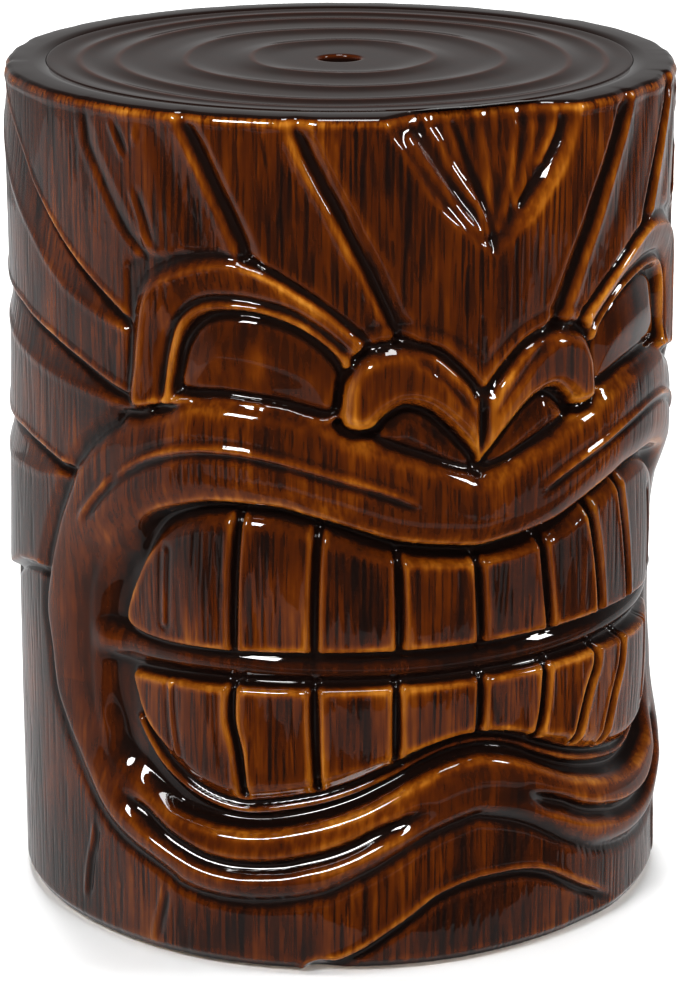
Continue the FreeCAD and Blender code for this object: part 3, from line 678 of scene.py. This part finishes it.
def gouge_marks():
    """How strongly short upright gouge marks cut each grid point, from 0 to 1; they are wider behind."""
    marks = np.zeros(GRID)
    for _ in range(GOUGE_COUNT):
        angle, low = rng.uniform(-180, 180), rng.uniform(-20, HEIGHT)
        length, width = rng.uniform(*GOUGE_LENGTHS), rng.uniform(*GOUGE_WIDTHS)
        lean, strength = rng.normal(0, GOUGE_LEAN), rng.uniform(0.2, 1.0) ** 1.3
        width = width if abs(angle) < FRONT_HALF_ANGLE else 2 * width
        columns = slice(*np.searchsorted(ANGLES, (angle - GOUGE_REACH, angle + GOUGE_REACH)))
        rows = slice(*np.searchsorted(HEIGHTS, (low, low + length)))
        up = (HEIGHTS[None, rows] - low) / length
        across = (ANGLES[columns, None] - angle - lean * (up - 0.5)) * MM_PER_DEGREE
        mark = strength * bump(across, width) * np.sqrt(np.clip(4 * up * (1 - up), 0, 1))
        marks[columns, rows] = np.maximum(marks[columns, rows], mark)
    return marks


def grain_strength(relief):
    """How far the grain shows: fully on teeth, less on lips and nose, not in the eyes or on slopes."""
    strength = np.ones(GRID)
    on_lips = np.where(Z > UPPER_LIP_FOOT, GRAIN_ON_UPPER_LIP, GRAIN_ON_LOWER_LIP)
    set_into(strength, region(LIPS, 12), on_lips, 8)
    set_into(strength, region(MOUTH, 12), 0.0, 8)
    for teeth in (UPPER_TEETH, LOWER_TEETH):
        set_into(strength, region(teeth, 12) + 4, 1.0, 6)
    set_into(strength, both(region(NOSE, 12)) + 3, GRAIN_ON_NOSE, 6)
    set_into(strength, both(region(EYE, 12)), 0.0, 6)
    slope = np.hypot(np.gradient(relief, X, axis=0), np.gradient(relief, HEIGHTS, axis=1))
    return strength * (1 - smooth(blurred(slope, 1.5, 1.5) / GRAINLESS_SLOPE))


def glaze_lies_thick():
    """How much thicker the glaze lies on the flanks, bar, lips, eyes and rim, and thinner on the brow."""
    thick = np.broadcast_to(THICK_ON_FLANKS * smooth((SIDE - 58) / 8), GRID).copy()
    crest = both(region(BROW_CREST + UNDER_EYE, 14))
    thick -= THIN_ON_BROW * smooth(1 + crest / 12) * smooth((2 - crest) / 2) * smooth((48 - SIDE) / 8)
    on_lips = THICK_ON_LIPS + THICK_ON_LOWER_LIP * (Z < LOWER_LIP_TOP)
    set_into(thick, region(LIPS, 12), on_lips, 8)
    in_mouth = THICK_IN_MOUTH + THICK_ON_BAR * bump(Z - BAR_MIDDLE, 14) * (SIDE < 66)
    set_into(thick, region(MOUTH, 12), in_mouth, 4)
    for teeth, on_teeth in zip((UPPER_TEETH, LOWER_TEETH), THICK_ON_TEETH):
        set_into(thick, region(teeth, 12), on_teeth, 2)
    for outline, here in ((NOSE, THICK_ON_NOSE), (NOSTRIL, THICK_IN_NOSTRILS), (EYE, THICK_ON_EYES)):
        set_into(thick, both(region(outline, 12)), here, 4)
    return thick + THICK_ON_RIM * smooth((Z - HEIGHT + 1.6) / 1.4)


def glaze_fields(level, marks):
    """How thin the glaze runs on edges and swells, and how thick it pools in furrows, from 0 to about 1."""
    smoothed = blurred(level + GOUGE_DEPTH * marks, 0.8, 0.8)
    fine = smoothed - blurred(smoothed, 3, 3)
    broad = smoothed - blurred(smoothed, 9, 9)
    rim_edge = THIN_ON_RIM_EDGE * bump(Z - (HEIGHT - 3), 2.6)
    thin = np.clip(fine - 0.1, 0, 1) + THIN_ON_SWELLS * np.clip(broad / 2.5, 0, 1) + rim_edge
    pool = np.clip(-fine / 1.5 - broad / 13.0, 0, 1) + glaze_lies_thick()
    return thin, pool


def hand_unevenness():
    """Slow waves from -1 to 1, as in a model cut by hand."""
    turn = np.radians(ANGLES)[:, None]
    waves = 0
    for _ in range(UNEVENNESS_WAVES):
        waves_round, phase, tilt = rng.integers(2, 15), rng.uniform(0, 6.3), rng.uniform(-0.04, 0.04)
        waves = waves + np.sin(waves_round * turn + phase + tilt * Z)
    return waves / UNEVENNESS_WAVES


def carved_relief():
    """The whole relief in millimetres, how strongly gouge marks cut it, and how far the grain shows."""
    forehead = (Z > place(FOREHEAD_FOOT, SIDE)) & (SIDE < place(FURROWS[2], Z) + 2.4)
    face = np.where(Z > CHEEK_FOOT, CHEEK_LEVEL, TRUNK_LEVEL)
    relief = np.where(forehead, forehead_levels(), np.where(SIDE > 57, flank_levels(), face))
    for line in CREASES:
        beside = [(angle + 1.2, height) for angle, height in line]
        relief = relief + CREASE_RIDGE * crease(line, 2.0, 8) - CREASE_DEPTH * crease(beside, 3.0, 12)
    for carve in (carve_crown, carve_lips, carve_mouth, carve_chin, carve_eyes, carve_nose):
        carve(relief)
    relief = blurred(relief, 1.0, 1.0)
    grain = grain_strength(relief)
    marks = gouge_marks() * grain
    relief = relief - GOUGE_DEPTH * marks + UNEVENNESS * hand_unevenness()
    turn_over_ends(relief)
    return relief, marks, grain


# ---- meshes

REBATE_GAP = 0.2
REBATE_LEDGE = 8
WALL_GAP = 0.05  # inside the CAD wall's box

SEAT_SUNK = 0.4
SEAT_VALLEY = -1.4
SEAT_RINGS = ((50, 9), (87, 8), (122.5, 7), (143, 6))  # radius and half-width of each growth ring
SEAT_RING_HEIGHT = 1.0
SEAT_RING_CREST = 0.35
SEAT_LAND_START = 141
SEAT_LAND_WIDTH = 16
SEAT_THIN_MOST = 0.28
SEAT_THIN_AT_HOLE = 0.7
SEAT_STEPS = 360

FOOT_WIDTH = 19.8


def new_mesh(name, points, faces):
    """A smooth-shaded object made of these points and faces."""
    mesh = bpy.data.meshes.new(name)
    mesh.from_pydata(points, [], faces)
    mesh.polygons.foreach_set("use_smooth", [True] * len(mesh.polygons))
    mesh.update()
    piece = bpy.data.objects.new(name, mesh)
    bpy.context.collection.objects.link(piece)
    return piece


def grid_faces(columns, rows):
    """Quads of a grid of points, closed round its columns and round its rows."""
    c, r = np.meshgrid(np.arange(columns), np.arange(rows), indexing="ij")
    c2, r2 = (c + 1) % columns, (r + 1) % rows
    return np.stack([c * rows + r, c2 * rows + r, c2 * rows + r2, c * rows + r2], -1).reshape(-1, 4)


def ring_points(angles, radii, heights):
    """Points at these radii (mm) and heights (mm), one column for each angle, in metres."""
    turn = np.radians(angles)[:, None]
    x, y = radii * np.sin(turn), -radii * np.cos(turn)
    return (np.stack([x, y, np.broadcast_to(heights, radii.shape)], -1) * MM).reshape(-1, 3)


def give_materials(piece, glaze, bare, is_bare):
    """Glaze on the piece, and bare clay on the faces marked so."""
    for material in (glaze, bare):
        piece.data.materials.append(material)
    piece.data.polygons.foreach_set("material_index", is_bare.astype(np.int32))


def shade(piece, name, values):
    """Stores one number for each point, for the materials to read."""
    layer = piece.data.attributes.new(name, "FLOAT", "POINT")
    layer.data.foreach_set("value", np.asarray(values, np.float32).ravel())


def hollow_profile():
    """(radius, height) points from the rim over the seat's rebate and down the hollow to the base."""
    rebate = [
        (SEAT_RADIUS + 8, HEIGHT), (SEAT_RADIUS + 0.6, HEIGHT - 0.4),
        (SEAT_RADIUS + REBATE_GAP, HEIGHT - 0.8), (SEAT_RADIUS + REBATE_GAP, SEAT_BOTTOM),
        (SEAT_RADIUS - REBATE_LEDGE, SEAT_BOTTOM),
        (SEAT_RADIUS - REBATE_LEDGE + 0.5, SEAT_BOTTOM - 5), (SEAT_RADIUS - 2, SEAT_BOTTOM - 14),
    ]
    hollow = [(SEAT_RADIUS, height) for height in np.linspace(SEAT_BOTTOM - 30, FOOT_TOP + 30, 12)]
    return rebate + hollow + [(FOOT_RADIUS - 6, FOOT_TOP), (FOOT_RADIUS, FOOT_TOP), (FOOT_RADIUS, BASE)]


def box_radius():
    """How far out each column can go inside the CAD wall's box, in millimetres."""
    turn = np.radians(ANGLES)
    across, along = np.abs(np.sin(turn)), np.abs(np.cos(turn))
    return np.minimum(WIDEST[0] / np.maximum(across, 1e-3), WIDEST[1] / np.maximum(along, 1e-3)) - WALL_GAP


def carved_wall(glaze, bare):
    """The wall as one closed skin: carved outside, over the rim, down the inside and under the base."""
    relief, marks, grain = carved_relief()
    radii = np.minimum(BODY_RADIUS + relief, box_radius()[:, None])
    thin, pool = glaze_fields(radii - BODY_RADIUS, marks)
    inner_radii, inner_heights = np.array(hollow_profile()).T
    heights = np.concatenate([HEIGHTS, inner_heights])
    all_radii = np.hstack([radii, inner_radii[None, :].repeat(len(ANGLES), 0)])
    rows = len(heights)
    faces = grid_faces(len(ANGLES), rows)
    piece = new_mesh("carved_wall_glazed", ring_points(ANGLES, all_radii, heights), faces.tolist())
    blank = np.zeros((len(ANGLES), len(inner_heights)))
    on_rim = blank + THICK_ON_RIM * (inner_heights > SEAT_BOTTOM - 1)
    fields = (("thin", thin, blank), ("pool", pool, on_rim), ("gouge", marks, blank), ("grain", grain, blank))
    for name, outside, within in fields:
        shade(piece, name, np.hstack([outside, within]))
    give_materials(piece, glaze, bare, faces[:, 0] % rows >= len(HEIGHTS) + 3)
    return piece


def seat_profile(radius, turn):
    """The height of the seat's top: growth rings that wander a little as they go round."""
    wander = 2.6 * np.sin(turn + 0.6) + 1.9 * np.sin(2 * turn + 2.1) + np.sin(5 * turn + 0.4 + radius / 30)
    level = np.full(np.broadcast(radius, turn).shape, SEAT_VALLEY)
    for ring, half_width in SEAT_RINGS:
        away = radius - ring - wander * min(1, ring / 90)
        level += SEAT_RING_HEIGHT * np.exp(-(away / half_width) ** 2)
        level += SEAT_RING_CREST * np.exp(-np.abs(away) / 2.2)
    return level * (1 - smooth((radius - SEAT_LAND_START) / SEAT_LAND_WIDTH))


def seat_thinness(radius, level):
    """How thin the glaze runs on the crests of the rings and at the edge of the hole."""
    curve = np.gradient(np.gradient(level, axis=1), axis=1)
    at_hole = SEAT_THIN_AT_HOLE * np.exp(-((radius - SEAT_HOLE_RADIUS) / 1.2) ** 2)
    return np.clip(-curve * 3.2, 0, SEAT_THIN_MOST) * (radius < 147) + at_hole[None, :]


def seat_disc(glaze, bare):
    """The rippled seat with its finger hole, closed underneath."""
    angles = np.arange(0, 360, 360 / SEAT_STEPS)
    top = np.concatenate([SEAT_HOLE_RADIUS + np.array([0, 0.5, 1.4]),
                          np.linspace(SEAT_HOLE_RADIUS + 3, SEAT_RADIUS - 1, 118),
                          [SEAT_RADIUS - 0.3, SEAT_RADIUS]])
    drop = np.zeros(len(top))
    drop[:2] = (1.0, 0.25)
    drop[-1] = 0.4
    level = seat_profile(top[None, :], np.radians(angles)[:, None])
    height = HEIGHT - SEAT_SUNK + level - drop
    under = [(SEAT_RADIUS, SEAT_BOTTOM), (SEAT_HOLE_RADIUS, SEAT_BOTTOM), (SEAT_HOLE_RADIUS, HEIGHT - 4.5)]
    under_radii, under_heights = (np.array(v)[None, :].repeat(len(angles), 0) for v in zip(*under))
    radii = np.hstack([np.broadcast_to(top, height.shape), under_radii])
    heights = np.hstack([height, under_heights])
    rows = radii.shape[1]
    faces = grid_faces(len(angles), rows)[:, ::-1]
    piece = new_mesh("seat_disc_glazed", ring_points(angles, radii, heights), faces.tolist())
    shade(piece, "thin", np.hstack([seat_thinness(top, level), np.zeros_like(under_radii)]))
    give_materials(piece, glaze, bare, faces[:, -1] % rows == rows - 3)
    return piece


def lathed(name, profile, centre, material, steps):
    """A closed ring or disc turned from a (radius, height) profile about an upright axis."""
    angles = np.arange(steps) * 360 / steps
    radii, heights = (np.array(v)[None, :].repeat(steps, 0) for v in zip(*profile))
    points = ring_points(angles, radii, heights) + np.array([centre[0], centre[1], 0])
    piece = new_mesh(name, points, grid_faces(steps, len(profile)).tolist())
    piece.data.materials.append(material)
    return piece


def foot_ring(bare):
    """The flat ring inside the base, with its inner edge rounded over."""
    low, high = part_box("foot_ring")[0].z / MM, FOOT_TOP
    inner = FOOT_RADIUS - FOOT_WIDTH
    profile = [(FOOT_RADIUS, low), (FOOT_RADIUS, high), (inner + 4, high), (inner + 1.2, high - 0.8),
               (inner + 0.2, high - 2.4), (inner, (low + high) / 2), (inner + 0.2, low + 2.4),
               (inner + 1.2, low + 0.8), (inner + 4, low)]
    return lathed("foot_ring_bare", profile, (0, 0), bare, 192)


def pad(node, rubber):
    """One round pad with soft edges and a dished underside."""
    low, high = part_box(node)
    radius, top, bottom = (high.x - low.x) / 2 / MM, high.z / MM, low.z / MM
    profile = [(0.01, top), (radius - 0.3, top), (radius, top - 0.5), (radius, bottom + 0.8),
               (radius - 0.25, bottom + 0.25), (radius - 0.9, bottom), (radius - 3, bottom),
               (radius - 3.6, bottom + 0.4), (0.01, bottom + 0.4)]
    return lathed(node + "_rubber", profile[::-1], (low + high).xy / 2, rubber, 64)


# ---- materials

# The colour of the glaze at each thickness from 0, clear, to 1, black
GLAZE_BY_THICKNESS = (
    (0.0, (0.50, 0.190, 0.022)),
    (0.20, (0.27, 0.080, 0.0045)),
    (0.40, (0.120, 0.0242, 0.0012)),
    (0.60, (0.054, 0.0092, 0.0010)),
    (0.80, (0.020, 0.0046, 0.0016)),
    (1.0, (0.0040, 0.0026, 0.0022)),
)
GLAZE_MEAN = 0.30
STREAKS_SHARE = 0.16
RUNS_SHARE = 0.20
BLOTCHES_SHARE = 0.28
STROKES_SHARE = 0.24
GOUGES_SHARE = 0.30
POOLS_SHARE = 0.7
THIN_SHARE = -0.42
SEAT_GLAZE_MEAN = 0.98
SEAT_GRAIN_SHARE = -0.05
SEAT_THIN_SHARE = -0.5
NOISE_ROUGHNESS = 0.55
GLAZE_COAT = {"Roughness": 0.5, "Specular_IOR_Level": 0.0, "Coat_IOR": 1.5}


class Nodes:
    """Short ways to build one material or world."""

    def __init__(self, owner):
        self.owner = owner
        owner.use_nodes = True
        self.tree = owner.node_tree
        self.places = self.add("ShaderNodeTexCoord").outputs

    def add(self, kind, **values):
        """A new node with these settings."""
        node = self.tree.nodes.new(kind)
        for name, value in values.items():
            setattr(node, name, value)
        return node

    def link(self, source, target):
        self.tree.links.new(source, target)

    def attribute(self, name):
        """The numbers that shade() stored on the mesh under this name."""
        return self.add("ShaderNodeAttribute", attribute_name=name).outputs["Fac"]

    def noise(self, size, stretch=(1, 1, 1), detail=4.0):
        """Noise whose features are about size metres across before they are stretched."""
        mapping = self.add("ShaderNodeMapping")
        mapping.inputs["Scale"].default_value = [s / size for s in stretch]
        self.link(self.places["Object"], mapping.inputs["Vector"])
        noise = self.add("ShaderNodeTexNoise")
        noise.inputs["Scale"].default_value = 1.0
        noise.inputs["Detail"].default_value = detail
        noise.inputs["Roughness"].default_value = NOISE_ROUGHNESS
        self.link(mapping.outputs["Vector"], noise.inputs["Vector"])
        return noise.outputs["Fac"]

    def spread(self, value, low, high, **settings):
        """The part of a value between low and high, stretched to run from 0 to 1."""
        node = self.add("ShaderNodeMapRange", **settings)
        node.inputs["From Min"].default_value = low
        node.inputs["From Max"].default_value = high
        self.link(value, node.inputs["Value"])
        return node.outputs["Result"]

    def math(self, operation, *values):
        """One sum on numbers or on the outputs of other nodes."""
        node = self.add("ShaderNodeMath", operation=operation)
        for socket, value in zip(node.inputs, values):
            if isinstance(value, (int, float)):
                socket.default_value = value
            else:
                self.link(value, socket)
        return node.outputs["Value"]

    def mix(self, share, a, b):
        """Colour a turning to colour b as share goes from 0 to 1."""
        node = self.add("ShaderNodeMix", data_type="RGBA")
        self.link(share, node.inputs["Factor"])
        for socket, value in zip((node.inputs[6], node.inputs[7]), (a, b)):
            if isinstance(value, tuple):
                socket.default_value = (*value, 1)
            else:
                self.link(value, socket)
        return node.outputs[2]

    def bump(self, height, distance, strength=1.0, before=None):
        """Fine relief, in metres, too small for the mesh."""
        node = self.add("ShaderNodeBump")
        node.inputs["Distance"].default_value = distance
        node.inputs["Strength"].default_value = strength
        self.link(height, node.inputs["Height"])
        if before:
            self.link(before, node.inputs["Normal"])
        return node.outputs["Normal"]

    def finish(self, colour, normal, **constants):
        """The material, with its colour, relief and constant settings on the shader."""
        shader = self.tree.nodes["Principled BSDF"]
        self.link(colour, shader.inputs["Base Color"])
        self.link(normal, shader.inputs["Normal"])
        for name, value in constants.items():
            shader.inputs[name.replace("_", " ")].default_value = value
        return self.owner


def new_material(name):
    """A new material, ready to build."""
    return Nodes(bpy.data.materials.new(name))


def glaze_colours(n, thickness):
    """Clear brown glaze over pale clay: amber where it is thin, red-brown, then black where it is thick."""
    ramp = n.add("ShaderNodeValToRGB")
    ramp.color_ramp.interpolation = "B_SPLINE"
    stops = ramp.color_ramp.elements
    for position, _ in GLAZE_BY_THICKNESS[1:-1]:
        stops.new(position)
    for stop, (position, colour) in zip(stops, GLAZE_BY_THICKNESS):
        stop.position = position
        stop.color = (*colour, 1)
    n.link(thickness, ramp.inputs["Fac"])
    return ramp.outputs["Color"]


def wall_glaze():
    """The glaze of the wall, running thin over the edges and pooling in the carving."""
    n = new_material("wall_glaze")
    streaks = n.spread(n.noise(0.0034, (1, 1, 0.055), 2), 0.35, 0.65)
    runs = n.spread(n.noise(0.013, (1, 1, 0.16), 3), 0.32, 0.68)
    blotches = n.spread(n.noise(0.05, (1, 1, 0.7), 3), 0.35, 0.65)
    strokes = n.spread(n.noise(0.0021, (1, 1, 0.04), 1), 0.53, 0.68)
    strokes = n.math("MULTIPLY", strokes, n.attribute("grain"))
    thin = n.math("MULTIPLY", n.attribute("thin"), n.spread(runs, -0.4, 0.9))
    thickness = GLAZE_MEAN
    for cause, share in ((streaks, STREAKS_SHARE), (runs, RUNS_SHARE), (blotches, BLOTCHES_SHARE),
                         (strokes, STROKES_SHARE), (n.attribute("gouge"), GOUGES_SHARE),
                         (n.attribute("pool"), POOLS_SHARE), (thin, THIN_SHARE)):
        thickness = n.math("MULTIPLY_ADD", cause, share, thickness)
    normal = n.bump(n.noise(0.006, (1, 1, 0.06), 0), 0.0003, 0.2)
    normal = n.bump(n.noise(0.02, (1, 1, 0.8), 0), 0.0012, 0.1, normal)
    return n.finish(glaze_colours(n, thickness), normal, Coat_Weight=1.0, Coat_Roughness=0.03, **GLAZE_COAT)


def seat_glaze():
    """The same glaze lying thick and nearly black, reddish only on the crests of the rings."""
    n = new_material("seat_glaze")
    grain = n.spread(n.noise(0.008, (1, 0.25, 1), 4), 0.35, 0.7)
    thickness = n.math("MULTIPLY_ADD", grain, SEAT_GRAIN_SHARE, SEAT_GLAZE_MEAN)
    thickness = n.math("MULTIPLY_ADD", n.attribute("thin"), SEAT_THIN_SHARE, thickness)
    normal = n.bump(n.noise(0.018, (1, 1, 1), 3), 0.0012, 0.18)
    return n.finish(glaze_colours(n, thickness), normal, Coat_Weight=0.8, Coat_Roughness=0.06, **GLAZE_COAT)


def bare_stoneware():
    """Unglazed buff clay with fine grog and a few iron specks."""
    n = new_material("bare_stoneware")
    body = n.mix(n.spread(n.noise(0.02), 0.35, 0.65), (0.42, 0.31, 0.22), (0.55, 0.43, 0.32))
    body = n.mix(n.spread(n.noise(0.0015, detail=2), 0.64, 0.72), body, (0.16, 0.09, 0.05))
    return n.finish(body, n.bump(n.noise(0.001, detail=3), 0.0003, 0.5), Roughness=0.85)


def pad_rubber():
    """Matt black rubber with a fine moulded texture."""
    n = new_material("pad_rubber")
    body = n.mix(n.spread(n.noise(0.004), 0.3, 0.7), (0.018, 0.018, 0.018), (0.035, 0.034, 0.033))
    return n.finish(body, n.bump(n.noise(0.0006, detail=2), 0.0002, 0.4), Roughness=0.7)


# ---- camera, lights and floor

CAMERA_AZIMUTH = math.radians(-24)
CAMERA_PITCH = math.radians(17.006)
CAMERA_DISTANCE = 1.8683
CAMERA_ABOVE_TOP = 0.3268
CAMERA_LENS_MM = 128.7
ROOM_DARK = 0.03
ROOM_PALE = 0.32
TABLE_GLOW = 0.24
FLOOR_HALF_SIZE = 40.0

# The middle and the width and depth of each pale stretch of the table, in metres
TABLE_PATCHES = (
    ((0, 0.78), (3.8, 2.0)),
    ((0, -0.53), (3.8, 0.18)),
    ((0.87, -0.96), (1.0, 0.68)),
)
# Degrees round and up, metres away, width and height in metres, watts, and whether the glaze mirrors it
SOFT_BOXES = (
    ("key_light", -56, 38, 2.6, (0.6, 0.5), 46, True),
    ("right_light", 57, 30, 2.6, (0.32, 0.7), 26, True),
    ("top_light", -20, 80, 2.4, (0.7, 0.7), 26, True),
    ("fill_light", 8, 22, 4.0, (2.4, 1.4), 54, False),
    ("back_light", 165, 50, 3.0, (1.2, 1.0), 60, False),
)
BACKDROP = ("backdrop_light", 156, 45, 6.0, (4, 4), 460, False)


def towards(azimuth, elevation):
    """The direction of something seen this way round and up from the middle of the stool."""
    return Vector((math.sin(azimuth) * math.cos(elevation), -math.cos(azimuth) * math.cos(elevation),
                   math.sin(elevation)))


def make_camera():
    """The camera that sees the stool as the object is usually shown: from the left and a little above."""
    data = bpy.data.cameras.new("camera")
    data.lens = CAMERA_LENS_MM
    camera = bpy.data.objects.new("camera", data)
    bpy.context.collection.objects.link(camera)
    place_on_ring = towards(CAMERA_AZIMUTH, 0) * CAMERA_DISTANCE
    camera.location = place_on_ring + Vector((0, 0, HEIGHT * MM + CAMERA_ABOVE_TOP))
    camera.rotation_euler = (math.pi / 2 - CAMERA_PITCH, 0, CAMERA_AZIMUTH)
    bpy.context.scene.camera = camera


def soft_box(name, azimuth, elevation, distance, size, power, reflected):
    """A rectangular light that faces the middle of the stool."""
    data = bpy.data.lights.new(name, "AREA")
    data.shape = "RECTANGLE"
    data.size, data.size_y = size
    data.energy = power
    light = bpy.data.objects.new(name, data)
    light.visible_glossy = reflected
    bpy.context.collection.objects.link(light)
    direction = towards(math.radians(azimuth), math.radians(elevation))
    light.location = direction * distance + Vector((0, 0, HEIGHT * MM / 2))
    light.rotation_euler = direction.to_track_quat("Z", "Y").to_euler()
    return light


def make_room():
    """Pale behind and beside the stool, as a backdrop throws it back, and dark above and in front."""
    world = bpy.data.worlds.new("studio")
    n = Nodes(world)
    axes = n.add("ShaderNodeSeparateXYZ")
    n.link(n.places["Generated"], axes.inputs["Vector"])
    behind = n.spread(axes.outputs["Y"], -0.3, 0.4, interpolation_type="SMOOTHSTEP")
    low = n.spread(axes.outputs["Z"], 0.6, -0.05, interpolation_type="SMOOTHSTEP")
    strength = n.math("MULTIPLY_ADD", n.math("MULTIPLY", behind, low), ROOM_PALE - ROOM_DARK, ROOM_DARK)
    n.link(strength, n.tree.nodes["Background"].inputs["Strength"])
    n.tree.nodes["Background"].inputs["Color"].default_value = (1, 1, 1, 1)
    bpy.context.scene.world = world


def make_table_glow(middle, size):
    """A pale stretch of table that only the glaze mirrors."""
    width, depth = size
    glow = soft_box("table_glow", 0, 0, 0, size, TABLE_GLOW * math.pi * width * depth, True)
    glow.location = Vector((*middle, MM))
    glow.rotation_euler = (math.pi, 0, 0)
    glow.visible_camera = glow.visible_diffuse = False


def make_studio():
    """Soft boxes round the stool, one level over the floor behind it, the table's glow and the room."""
    for settings in SOFT_BOXES:
        soft_box(*settings)
    soft_box(*BACKDROP).rotation_euler = (0, 0, 0)
    for middle, size in TABLE_PATCHES:
        make_table_glow(middle, size)
    make_room()
    bpy.context.scene.view_settings.view_transform = "Standard"


def make_floor():
    """A plain pale floor that the glaze doesn't mirror."""
    size = FLOOR_HALF_SIZE
    corners = [(-size, -size, 0), (size, -size, 0), (size, size, 0), (-size, size, 0)]
    floor = new_mesh("studio_floor", corners, [(0, 1, 2, 3)])
    n = new_material("studio_floor")
    colour = n.mix(n.noise(0.5), (0.90, 0.90, 0.90), (0.92, 0.92, 0.92))
    floor.data.materials.append(n.finish(colour, n.bump(n.noise(0.2), 0.0001), Roughness=0.6))
    floor.visible_glossy = False


# ---- the stool

make_camera()
make_studio()
make_floor()

glaze, dark_glaze, bare, rubber = wall_glaze(), seat_glaze(), bare_stoneware(), pad_rubber()
pieces = [
    (carved_wall(glaze, bare), "carved_wall", "wall_glaze"),
    (seat_disc(dark_glaze, bare), "seat_disc", "seat_glaze"),
    (foot_ring(bare), "foot_ring", "bare_stoneware"),
]
for number in range(1, 5):
    pieces.append((pad(f"pad_{number}", rubber), f"pad_{number}", "pad_rubber"))
for piece, node, slot in pieces:
    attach(piece, "root")
    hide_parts(node)
